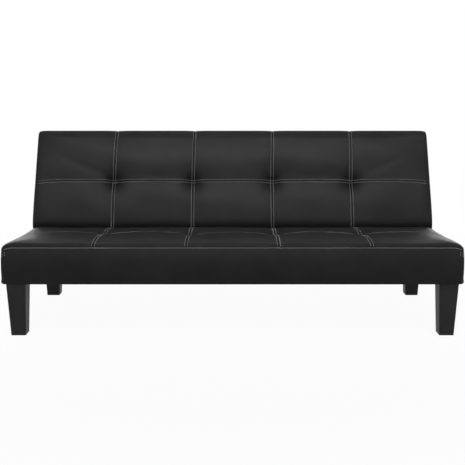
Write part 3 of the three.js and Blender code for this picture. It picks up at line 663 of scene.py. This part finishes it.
# %% Let the wadding push
COARSE_PITCH = 12 * MM
COARSE_CLOSE = np.array([0.0])
COARSE_STEPS = END_STEPS[2::3]
COARSE_RINGS = 3
PUSHES = 20


def puff(sheet, held, height, rings):
    """How far each point of a coarse cover rises when it is held where held is 1 and filled from inside.

    The outer rings are side panels: they take no part and rise by nothing.
    """
    sheet, held = sheet[:, rings:-rings], held[:, rings:-rings]
    rows, columns = held.shape
    faces = quads(rows, columns).reshape(-1, 4)
    mesh = bpy.data.meshes.new("filling")
    mesh.from_pydata(sheet.reshape(-1, 3).tolist(), [], faces.tolist())
    trial = bpy.data.objects.new("filling", mesh)
    scene.collection.objects.link(trial)
    sewn = trial.vertex_groups.new(name="sewn")
    for i in np.flatnonzero(held.ravel() > 0.02):
        sewn.add([int(i)], float(held.ravel()[i]), "REPLACE")
    cloth = trial.modifiers.new("cloth", "CLOTH")
    cloth.settings.quality = 6
    cloth.settings.mass = 0.25
    cloth.settings.tension_stiffness = cloth.settings.compression_stiffness = 18
    cloth.settings.shear_stiffness = 9
    cloth.settings.bending_stiffness = 1.2
    cloth.settings.vertex_group_mass = "sewn"
    cloth.settings.use_pressure = True
    cloth.settings.uniform_pressure_force = 12
    cloth.settings.effector_weights.gravity = 0
    cloth.point_cache.frame_start, cloth.point_cache.frame_end = 1, PUSHES
    for step in range(1, PUSHES + 1):
        scene.frame_set(step)
    filled = trial.evaluated_get(bpy.context.evaluated_depsgraph_get()).to_mesh()
    moved = np.empty(rows * columns * 3, np.float32)
    filled.vertices.foreach_get("co", moved)
    bpy.data.objects.remove(trial)
    rise = ((moved.reshape(sheet.shape) - sheet) * outward(sheet)).sum(-1)
    rise = np.clip(rise, 0, None)
    scene.frame_set(1)
    print("  wadding rose", round(float(rise.max()) / MM, 1), "mm, scaled to", height / MM, "mm")
    return np.pad(rise * height / rise.max(), ((0, 0), (rings, rings)))


print("coarse grid", COARSE_PITCH / MM, "mm,", PUSHES, "steps of simulation")

# %% [markdown]
# What the simulation can't show at its size comes next: the fold where two panels meet, the dimple of a
# tuft with the small creases that run into it, and a little unevenness, because no two panels are
# stuffed alike. Each one is a smooth function of the distance to its seam or tuft.

# %% Seams, tufts and small creases
def groove(distance, depth, width):
    """A soft furrow along a line."""
    return -depth * np.exp(-((distance / width) ** 2))


def tuft(along, across, depth, radius, creases=7, turn=0.0):
    """A dimple with fine creases that run towards its middle."""
    reach = np.hypot(along, across)
    angle = np.arctan2(along, across)
    dimple = -depth * np.exp(-((reach / radius) ** 1.5))
    fade = (reach / radius) * np.exp(-((reach / radius) ** 1.2))
    rays = 0.09 * depth * np.cos(creases * angle + turn) * fade
    return dimple + rays


def unevenness(along, across, height, seed):
    """A few slow waves with fixed random directions."""
    chance = np.random.default_rng(seed)
    total = 0
    for length in (0.42, 0.27, 0.19, 0.13):
        way = chance.uniform(0, math.pi)
        shift = chance.uniform(0, 2 * math.pi)
        total = total + length * np.sin(
            2 * math.pi * (along * math.cos(way) + across * math.sin(way)) / length + shift
        )
    return height * total


def held_seam(distance, share, width):
    """How much of the wadding's rise is left near a sewn line."""
    return 1 - share * np.exp(-((distance / width) ** 2))


print("tuft depth at its middle", round(float(tuft(np.zeros(1), np.zeros(1), 8, 20)[0]), 2))

# %% [markdown]
# The leather's shader asks at every point how much painted shade it gets, which follows how deep in a
# fold that point lies. The answer comes from the same distances: to the nearest tuft, to the nearest
# seam between columns, and to the crease where the two cushions meet.

# %% Painted shade deep in the folds
SEAM_SHADE = 3 * MM
CREASE_SHADE = 22 * MM


def fold_shade_at(x, rows, mark, radius, strength, sewn_from, crease):
    """How much painted shade a point gets: 0 on the open leather, rising towards the tufts, in the crease and a
    little in the seams.
    """
    side = x[None, :, None] - COLUMN_SEAMS[None, None, :]
    reach = np.hypot(side, (rows - mark)[:, None, None])
    tufted = strength * np.exp(-((reach / radius) ** 1.8))
    sewn = 0.35 * np.exp(-((side / SEAM_SHADE) ** 2)) * (rows > sewn_from)[:, None, None]
    # The crease gets the strongest painted shade, for the shadow between the two cushions.
    crease_darkening = 0.8 * np.exp(-(((rows - crease) / CREASE_SHADE) ** 2))[:, None]
    return np.clip(np.maximum(np.maximum(tufted, sewn).max(-1), crease_darkening), 0, 1)


print("the crease darkens", CREASE_SHADE / MM, "mm to each side")

# %% [markdown]
# A grid becomes a real cover when it has a thickness. The inner side is the same grid moved inwards,
# and every open edge is closed with a strip, also round the openings that are cut for the hinges.

# %% From a grid to a closed piece
def thick_cover(name, sheet, thickness, fold_shade, cut_out, material):
    """A closed shell of a grid; cut_out says, from the middles of its faces, which are left away."""
    rows, columns = sheet.shape[:2]
    faces = quads(rows, columns)
    middle = (sheet[:-1, :-1] + sheet[1:, 1:] + sheet[:-1, 1:] + sheet[1:, :-1]) / 4
    faces = faces[~cut_out(middle)]
    inside = sheet - outward(sheet) * thickness[..., None]
    count = rows * columns
    edges = {}
    for face in faces.tolist():
        for a, b in zip(face, face[1:] + face[:1]):
            if edges.pop((b, a), None) is None:
                edges[(a, b)] = True
    rim = [(b, a, a + count, b + count) for a, b in edges]
    back = faces[:, ::-1] + count
    mesh = bpy.data.meshes.new(name)
    points = np.concatenate([sheet.reshape(-1, 3), inside.reshape(-1, 3)])
    mesh.from_pydata(points.tolist(), [], faces.tolist() + back.tolist() + rim)
    # This point attribute carries the painted shade of tufts, seams and crease to the leather's shader.
    depth = mesh.attributes.new("fold_shade", "FLOAT", "POINT")
    depth.data.foreach_set("value", np.tile(fold_shade.ravel(), 2).astype(np.float32))
    work = bmesh.new()
    work.from_mesh(mesh)
    bmesh.ops.remove_doubles(work, verts=work.verts, dist=2e-6)
    bmesh.ops.dissolve_degenerate(work, edges=work.edges, dist=1e-7)
    loose = [v for v in work.verts if not v.link_faces]
    bmesh.ops.delete(work, geom=loose, context="VERTS")
    work.to_mesh(mesh)
    work.free()
    mesh.shade_smooth()
    mesh.materials.append(material)
    piece = bpy.data.objects.new(name, mesh)
    scene.collection.objects.link(piece)
    print(name, len(mesh.polygons), "faces")
    return piece


SEAT_WALL = 4 * MM
BACK_WALL = 3 * MM
HEM_WALL = 1.1 * MM
print("walls in mm: seat", SEAT_WALL / MM, "back", BACK_WALL / MM, "hem", HEM_WALL / MM)

# %% [markdown]
# ## The seat
#
# The seat's side view starts at the lower front edge, climbs the plain front panel to the topstitched
# seam, rolls over, runs nearly level to the rear, and dives into the crease. Near its two ends the top
# falls away, most of all in its rear half.

# %% The seat's outline
CROSS_SEAM = 270.0
seat_points = [
    (2, 0), (-3.5, 28), (-5.5, 60), (-4.5, 90), (-0.8, 115), (5, 134), (6, 141), (11, 147.5), (22, 150.5),
    (45, 150.5), (100, 148), (160, 144), (CROSS_SEAM, 139.5), (390, 137), (440, 135.5), (465, 132.5),
    (479, 128), (490, 119), (499, 110), (506, 101), (508, 90), (508, 45), (508, 0),
]
seat_marks, seat_place = outline_of(seat_points)
FRONT_SEAM = seat_marks[seat_points.index((5, 134))]
SEAT_CREASE = seat_marks[seat_points.index((490, 119))]
seat_cross = seat_marks[seat_points.index((CROSS_SEAM, 139.5))]
print("seat outline", round(seat_marks[-1], 3), "m long, front seam at", round(FRONT_SEAM, 3))

# %% Its ends
SEAT_REAR = 508 * MM
SEAT_THICK = 140 * MM
SINK_MARKS = np.array([0, 25, 110, 170, 300, 370, 430, 475, 508]) * MM
SINKS = np.array([25, 27.5, 24.5, 23.5, 29.4, 31.5, 30, 17, 12]) * MM


def seat_draw_in(outline):
    """How far the front and rear draw in at the two ends."""
    return (18 - 28 * outline[:, 0] / SEAT_REAR) * MM


def seat_drop(outline):
    """How far the top falls away at the two ends."""
    sink = np.interp(outline[:, 0], SINK_MARKS, SINKS)
    return sink * np.clip(outline[:, 1] / SEAT_THICK, 0, 1)


def seat_crown(steps):
    """How far the side panel swells."""
    return 8 * MM * np.sin(steps * math.pi / 2)


def seat_sheet(pitch, close, end_steps, rings):
    """The seat's grid: its rows, its columns and its points, in the sofa's place."""
    rows = spread(0, seat_marks[-1], pitch, [FRONT_SEAM, seat_cross], close)
    columns = spread(END_ROLL - HALF_WIDTH, HALF_WIDTH - END_ROLL, pitch, COLUMN_SEAMS, close)
    sheet, across = cover_grid(
        rows, seat_place, columns, end_steps, seat_draw_in, seat_drop, rings, seat_crown
    )
    return rows, across, sheet + np.array([0, seat_low.y, seat_low.z])


print("the top falls", round(SINKS.min() / MM), "to", round(SINKS.max() / MM), "mm at its ends")

# %% [markdown]
# Both cushions are held in the same three ways: outside their padded stretch, along their two ends, and
# at their tufts. Near those places the padding fades out, which one more helper describes.

# %% Where a cover is held
SEWN_EDGE = 4 * MM
SEWN_END = 6 * MM
BUTTON = 12 * MM
EDGE_FADE = 30 * MM
END_FADE = 60 * MM


def held_between(rows, first, last, soft):
    """1 outside the padded stretch of the outline, falling to 0 just inside it."""
    inside = np.minimum(rows - first, last - rows)
    return np.clip(1 - inside / soft, 0, 1)[:, None]


def held_at_ends(across, soft):
    """1 at the two ends of the cover, falling to 0 just inside them."""
    return np.clip((np.abs(across) - (HALF_WIDTH - soft)) / soft, 0, 1)[None, :]


def held_at_tufts(rows, across, mark, radius):
    """1 round every place where a column seam crosses the seam at mark."""
    side = across[None, :, None] - COLUMN_SEAMS[None, None, :]
    reach = np.hypot((rows - mark)[:, None, None], side).min(-1)
    return np.clip(1.6 - reach / radius, 0, 1)


def held_down(rows, across, first, last, mark):
    """All the places where the wadding can't rise."""
    edges = np.maximum(held_between(rows, first, last, SEWN_EDGE), held_at_ends(across, SEWN_END))
    return np.maximum(edges, held_at_tufts(rows, across, mark, BUTTON))


def padding(rows, across, first, last):
    """1 in the middle of a padded stretch, fading to 0 at its seams and its two ends."""
    lengthwise = np.clip((rows - first) / EDGE_FADE, 0, 1) * np.clip((last - rows) / EDGE_FADE, 0, 1)
    return lengthwise[:, None] * np.clip((HALF_WIDTH + 2 * MM - np.abs(across)) / END_FADE, 0, 1)


print("tufts hold", BUTTON / MM, "mm round each crossing of", len(COLUMN_SEAMS), "column seams")

# %% Fill the seat
coarse_rows, coarse_across, coarse = seat_sheet(COARSE_PITCH, COARSE_CLOSE, COARSE_STEPS, COARSE_RINGS)
held = held_down(coarse_rows, coarse_across, FRONT_SEAM, SEAT_CREASE, seat_cross)
seat_rise = puff(coarse, held, 12 * MM, COARSE_RINGS)

# %% [markdown]
# The fine grid takes the simulated rise and adds what is sewn: a narrow groove and a wide shallow one
# along each seam between columns, a tuft at each crossing, and the grooves of the two seams that run
# across.

# %% The fine seat cover
seat_rows, seat_across, sheet = seat_sheet(FINE_PITCH, CLOSE, END_STEPS, FINE_RINGS)
seat_rise = hermite(coarse_across, hermite(coarse_rows, seat_rise, seat_rows).T, seat_across).T
along = (seat_rows - seat_cross)[:, None]
padded = padding(seat_rows, seat_across, FRONT_SEAM, SEAT_CREASE)
shape = seat_rise + unevenness(along, seat_across, 2.2 * MM, 5) * padded
top = ((seat_rows > FRONT_SEAM) & (seat_rows < SEAT_CREASE + 60 * MM))[:, None] * 1.0
for seam in COLUMN_SEAMS:
    side = seat_across[None, :] - seam
    shape = shape + (groove(side, 2.0 * MM, 3.2 * MM) + groove(side, 2.2 * MM, 26 * MM)) * top
    shape = shape + tuft(along, side, 8 * MM, 34 * MM, turn=seam * 40)
shape = shape + groove(along, 1.8 * MM, 3.2 * MM) * padded
shape = shape + groove((seat_rows - FRONT_SEAM - 5 * MM)[:, None], 1.6 * MM, 3.4 * MM)
seat_fine = sheet + outward(sheet) * shape[..., None]
print("seat crown at", round(float(seat_fine[..., 2].max()), 4), "m")

# %% [markdown]
# Where the hinges stand, the cover has an opening in its rear face. Its place follows the hinge plates:
# they hang between the side board and the inner edge of the steel rail.

# %% Cut and close the seat cover
rail_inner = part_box("base_rail_right")[0].x
board_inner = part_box("seat_side_board_right")[0].x
ROOM_X = (rail_inner - 6 * MM, board_inner + 1 * MM)
ROOM_UP = 17 * MM
SEAT_ROOM = 48 * MM


def beside_hinge(middle):
    """True for faces as far from the sofa's middle as the hinges are."""
    return (np.abs(middle[..., 0]) > ROOM_X[0]) & (np.abs(middle[..., 0]) < ROOM_X[1])


def seat_cut(middle):
    """The two openings in the seat's rear face."""
    behind = middle[..., 1] > AXIS_Y - SEAT_ROOM
    return beside_hinge(middle) & behind & (middle[..., 2] < AXIS_Z + ROOM_UP)


seat_wall = np.full(seat_fine.shape[:2], SEAT_WALL)
# Painted shade for the seat's tufts, seams and crease.
seat_fold_shade = fold_shade_at(seat_across, seat_rows, seat_cross, 30 * MM, 0.75, FRONT_SEAM, SEAT_CREASE)
seat_leather = thick_cover("seat_leather", seat_fine, seat_wall, seat_fold_shade, seat_cut, leather)
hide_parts("seat_cover")
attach(seat_leather, "seat")

# %% [markdown]
# ## The back
#
# The back is drawn lying flat, with its face up: from the rear, round the lower end that meets the
# seat, along the face, over the upper edge and a short way onto the rear again, where the leather is
# stapled down over the dust cloth.

# %% The back's outline
LENGTH = (BACK_END - BACK_START) / MM
DEPTH = (BACK_FACE - BACK_REAR) / MM
MID_SEAM = 221.0
back_points = [
    (26, -1.3), (8, -1.3), (1.2, 3), (0, 14), (0, 45), (0.5, 62), (4, 73), (11, 83), (22, 91), (40, 97),
    (70, 101), (110, 103), (MID_SEAM, 103), (LENGTH - 60, DEPTH - 0.5), (LENGTH - 14, DEPTH - 1.5),
    (LENGTH + 1, DEPTH - 6), (LENGTH + 9, DEPTH - 17), (LENGTH + 13, DEPTH - 36), (LENGTH + 13, 36),
    (LENGTH + 6, 12), (LENGTH - 2, 2), (LENGTH - 12, -1.3), (LENGTH - 28, -1.3),
]
back_marks, back_place = outline_of(back_points)
back_mid = back_marks[back_points.index((MID_SEAM, 103))]
BACK_CREASE = back_marks[back_points.index((22, 91))]
EDGE_SEAM = back_marks[back_points.index((LENGTH + 1, DEPTH - 6))]
TOP_TURN = back_marks[back_points.index((LENGTH + 13, 36))]
print("back outline", round(back_marks[-1], 3), "m long")


# %% Its ends
def back_draw_in(outline):
    """How far the lower and upper edges draw in at the two ends."""
    return np.interp(outline[:, 0] / MM, [0, 60, LENGTH - 60, LENGTH], [4, 0, 0, -8]) * MM


def back_drop(outline):
    """How far the face falls away at the two ends."""
    return 7 * MM * np.clip(outline[:, 1] / (DEPTH * MM), 0, 1)


def back_crown(steps):
    """How far the side panel swells."""
    return 4.5 * MM * np.sin(steps * math.pi)


def back_sheet(pitch, close, end_steps, rings):
    """The back's grid: its rows, its columns and its points, leaning as a sofa."""
    rows = spread(0, back_marks[-1], pitch, [back_mid, EDGE_SEAM], close)
    columns = spread(END_ROLL - HALF_WIDTH, HALF_WIDTH - END_ROLL, pitch, COLUMN_SEAMS, close)
    sheet, across = cover_grid(
        rows, back_place, columns, end_steps, back_draw_in, back_drop, rings, back_crown
    )
    y, z = lean(sheet[..., 1] + BACK_START, sheet[..., 2] + BACK_REAR)
    return rows, across, np.stack([sheet[..., 0], y, z], axis=-1)


print("the back leans", round(math.degrees(FOLD), 1), "degrees up from flat")

# %% Fill the back
coarse_rows, coarse_across, coarse = back_sheet(COARSE_PITCH, COARSE_CLOSE, COARSE_STEPS, COARSE_RINGS)
held = held_down(coarse_rows, coarse_across, BACK_CREASE, TOP_TURN, back_mid)
back_rise = puff(coarse, held, 10 * MM, COARSE_RINGS)

# %% [markdown]
# Hand-guided seams are never quite straight. On the back the seams between the columns lean a few
# millimetres to the right near the top, and the middle seam dips where it reaches the two ends.

# %% Where the back's seams run
SWAY = 5 * MM
DIP = 10 * MM
DIP_START = 0.72


def sway(rows):
    """How far a seam between columns has moved to the right."""
    return SWAY * np.clip((rows - back_mid) / (EDGE_SEAM - back_mid), 0, 1)


def mid_dip(x):
    """How far the middle seam has dropped."""
    return DIP * np.clip((np.abs(x) - DIP_START) / (HALF_WIDTH - DIP_START), 0, 1) ** 2


print("seams sway", SWAY / MM, "mm and dip", DIP / MM, "mm")

# %% The fine back cover
back_rows, back_across, sheet = back_sheet(FINE_PITCH, CLOSE, END_STEPS, FINE_RINGS)
back_rise = hermite(coarse_across, hermite(coarse_rows, back_rise, back_rows).T, back_across).T
along = (back_rows - back_mid)[:, None]
padded = padding(back_rows, back_across, BACK_CREASE, EDGE_SEAM)
face = ((back_rows > BACK_CREASE - 40 * MM) & (back_rows < EDGE_SEAM + 30 * MM))[:, None] * 1.0
across_seam = along + mid_dip(back_across)[None, :]
shape = back_rise * held_seam(across_seam, 0.6, 50 * MM)
shape = shape + unevenness(along, back_across, 2.0 * MM, 11) * padded
for seam in COLUMN_SEAMS:
    side = back_across[None, :] - seam - sway(back_rows)[:, None]
    shape = shape + (groove(side, 2.0 * MM, 3.2 * MM) + groove(side, 1.4 * MM, 26 * MM)) * face
    shape = shape + tuft(along, side, 15 * MM, 30 * MM, turn=seam * 30)
shape = shape + (groove(across_seam, 2.0 * MM, 3.2 * MM) + groove(across_seam, 1.0 * MM, 26 * MM)) * padded
shape = shape + groove((back_rows - EDGE_SEAM)[:, None], 1.5 * MM, 3.0 * MM)
back_fine = sheet + outward(sheet) * shape[..., None]
print("back top at", round(float(back_fine[..., 2].max()), 4), "m")

# %% [markdown]
# The back's lower end is open at the hinges as well. Its hem on the rear is thinner than the rest,
# because it is leather alone, with no wadding behind it.

# %% Cut and close the back cover
BACK_ROOM = 50 * MM


def back_cut(middle):
    """The two openings at the back's lower end."""
    along, up = lay_flat(middle[..., 1], middle[..., 2])
    return beside_hinge(middle) & (along < BACK_ROOM) & (up < ROOM_UP)


flat_up = lay_flat(back_fine[..., 1], back_fine[..., 2])[1] - BACK_REAR
back_wall = np.where(flat_up < 2 * MM, HEM_WALL, BACK_WALL)
# Painted shade for the back's tufts, seams and the crease along its lower end.
back_fold_shade = fold_shade_at(back_across, back_rows, back_mid, 40 * MM, 1.0, 0, BACK_CREASE)
back_leather = thick_cover("back_leather", back_fine, back_wall, back_fold_shade, back_cut, leather)
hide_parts("back_cover")
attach(back_leather, "back")

# %% [markdown]
# ## Stitches
#
# The seams are topstitched with a pale thread, most of them on both sides. A stitch is a short rounded
# loop: it comes up through the leather, lies on it for six millimetres and dives again. Modelled one by
# one, they catch the light like thread; a painted dashed line would stay flat from every side.

# %% Rows of stitches on a grid
STITCH = 6.2 * MM
GAP = 2.0 * MM
THREAD = 0.55 * MM
RINGS = 5
CORNERS = 6


def on_sheet(sheet, rows, across, row_at, across_at):
    """Points on a grid at any length along its outline and any X."""
    r = np.interp(row_at, rows, np.arange(len(rows)))
    c = np.interp(across_at, across, np.arange(len(across)))
    r0, c0 = np.minimum(r.astype(int), len(rows) - 2), np.minimum(c.astype(int), len(across) - 2)
    fr, fc = (r - r0)[:, None], (c - c0)[:, None]
    lower = sheet[r0, c0] * (1 - fc) + sheet[r0, c0 + 1] * fc
    upper = sheet[r0 + 1, c0] * (1 - fc) + sheet[r0 + 1, c0 + 1] * fc
    return lower * (1 - fr) + upper * fr


def stitch_row(grid, line, length_of_one, gap):
    """The lying points and normals of every stitch along a line of (length on outline, X) pairs."""
    sheet, rows, across = grid
    path = on_sheet(sheet, rows, across, line[:, 0], line[:, 1])
    length = np.concatenate([[0], np.cumsum(np.linalg.norm(np.diff(path, axis=0), axis=1))])
    pitch = length_of_one + gap
    count = int(length[-1] // pitch)
    first = (length[-1] - count * pitch + gap) / 2
    marks = first + np.arange(count)[:, None] * pitch + np.linspace(0, 1, RINGS) * length_of_one
    row_at = np.interp(marks, length, line[:, 0]).ravel()
    across_at = np.interp(marks, length, line[:, 1]).ravel()
    points = on_sheet(sheet, rows, across, row_at, across_at)
    normals = on_sheet(outward(sheet), rows, across, row_at, across_at)
    return points.reshape(count, RINGS, 3), normals.reshape(count, RINGS, 3)


def down(first, last, x, bend=None):
    """A line along the outline at one X, with an optional sideways bend."""
    rows = np.linspace(first, last, 200)
    return np.stack([rows, x + (0 * rows if bend is None else bend(rows))], -1)


def along_x(row, reach, bend=None):
    """A line across the cover at one place of its outline, with an optional dip."""
    x = np.linspace(-reach, reach, 600)
    return np.stack([row - (0 * x if bend is None else bend(x)), x], -1)


print("a stitch is", STITCH / MM, "mm long, with", GAP / MM, "mm to the next")


# %% All the stitches of a cover as one piece
def sew(name, grid, lines, body, radius=THREAD, size=(STITCH, GAP), material=thread):
    """One piece with a short six-sided tube, thinner at its ends, for every stitch."""
    loops = [stitch_row(grid, line, *size) for line in lines]
    points = np.concatenate([p for p, n in loops])
    normals = np.concatenate([n for p, n in loops])
    normals /= np.linalg.norm(normals, axis=-1, keepdims=True)
    heading = np.gradient(points, axis=1)
    heading /= np.linalg.norm(heading, axis=-1, keepdims=True)
    sideways = np.cross(heading, normals)
    lift = np.array([-0.7, 0.35, 0.7, 0.35, -0.7])[None, :, None] * radius
    girth = np.array([0.7, 1.0, 1.05, 1.0, 0.7])[None, :, None, None] * radius
    turn = np.arange(CORNERS) / CORNERS * 2 * math.pi
    ring = np.cos(turn)[:, None] * sideways[:, :, None] + np.sin(turn)[:, None] * normals[:, :, None]
    tube = (points + normals * lift)[:, :, None] + ring * girth
    count = len(points)
    index = np.arange(count * RINGS * CORNERS).reshape(count, RINGS, CORNERS)
    around = np.roll(index, -1, axis=2)
    sides = np.stack([index[:, :-1], around[:, :-1], around[:, 1:], index[:, 1:]], -1).reshape(-1, 4)
    caps = np.concatenate([index[:, 0, ::-1], index[:, -1]])
    faces = sides[:, ::-1].tolist() + caps[:, ::-1].tolist()
    mesh = bpy.data.meshes.new(name)
    mesh.from_pydata(tube.reshape(-1, 3).tolist(), [], faces)
    mesh.shade_smooth()
    mesh.materials.append(material)
    piece = bpy.data.objects.new(name, mesh)
    scene.collection.objects.link(piece)
    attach(piece, body)
    print(name, count, "in", len(lines), "rows")
    return piece


print("each one has", RINGS * CORNERS, "points")

# %% [markdown]
# The seams between the columns carry a row on each side, 11 mm apart. The seat's front seam has one
# row, sewn with a thicker thread because it holds the edge that everyone leans on. The seat's cross
# seam has a single finer row, which people sit on all day. Short rows at the front corners lock the
# side panels.

# %% Sew the seat
TWIN = 5.5 * MM
ENDS = HALF_WIDTH - 12 * MM
CORNER_ROWS = (HALF_WIDTH - 17 * MM, HALF_WIDTH - 7 * MM)
seat_grid = (seat_fine, seat_rows, seat_across)
seat_lines = []
for x in COLUMN_SEAMS:
    for side in (-TWIN, TWIN):
        seat_lines.append(down(FRONT_SEAM + 5 * MM, SEAT_CREASE + 8 * MM, x + side))
for side in (-1, 1):
    for x in CORNER_ROWS:
        seat_lines.append(down(FRONT_SEAM - 30 * MM, FRONT_SEAM - 6 * MM, side * x))
sew("seat_stitches", seat_grid, seat_lines, "seat")
sew("seat_cross_stitches", seat_grid, [along_x(seat_cross + TWIN, ENDS)], "seat", radius=0.36 * MM)
sew("seat_front_stitches", seat_grid, [along_x(FRONT_SEAM, ENDS)], "seat", radius=0.68 * MM)

# %% Sew the back
back_grid = (back_fine, back_rows, back_across)
back_lines = []
for x in COLUMN_SEAMS:
    for side in (-TWIN, TWIN):
        back_lines.append(down(BACK_CREASE - 10 * MM, EDGE_SEAM - 2 * MM, x + side, sway))
        back_lines.append(down(EDGE_SEAM + 4 * MM, TOP_TURN - 30 * MM, x + side, sway))
for side in (-TWIN, TWIN):
    back_lines.append(along_x(back_mid + side, ENDS, mid_dip))
sew("back_stitches", back_grid, back_lines, "back")

# %% [markdown]
# On the rear the leather is folded over the dust cloth and stapled. A staple is the same short tube as a
# stitch, only longer, in steel wire, with a wide gap to the next one.

# %% Staple the rear hem
WIRE = 0.6 * MM
STAPLE = (11 * MM, 31 * MM)
HEM = 7 * MM
hem_lines = [
    along_x(back_rows[-1] - HEM, HALF_WIDTH - 60 * MM),
    along_x(back_rows[0] + HEM, ROOM_X[0] - 20 * MM),
]
staples = sew("back_staples", back_grid, hem_lines, "back", WIRE, STAPLE, zinc)

# %% [markdown]
# ## Size
#
# The padding may stand a little proud of the plain solids it replaces, but no more.
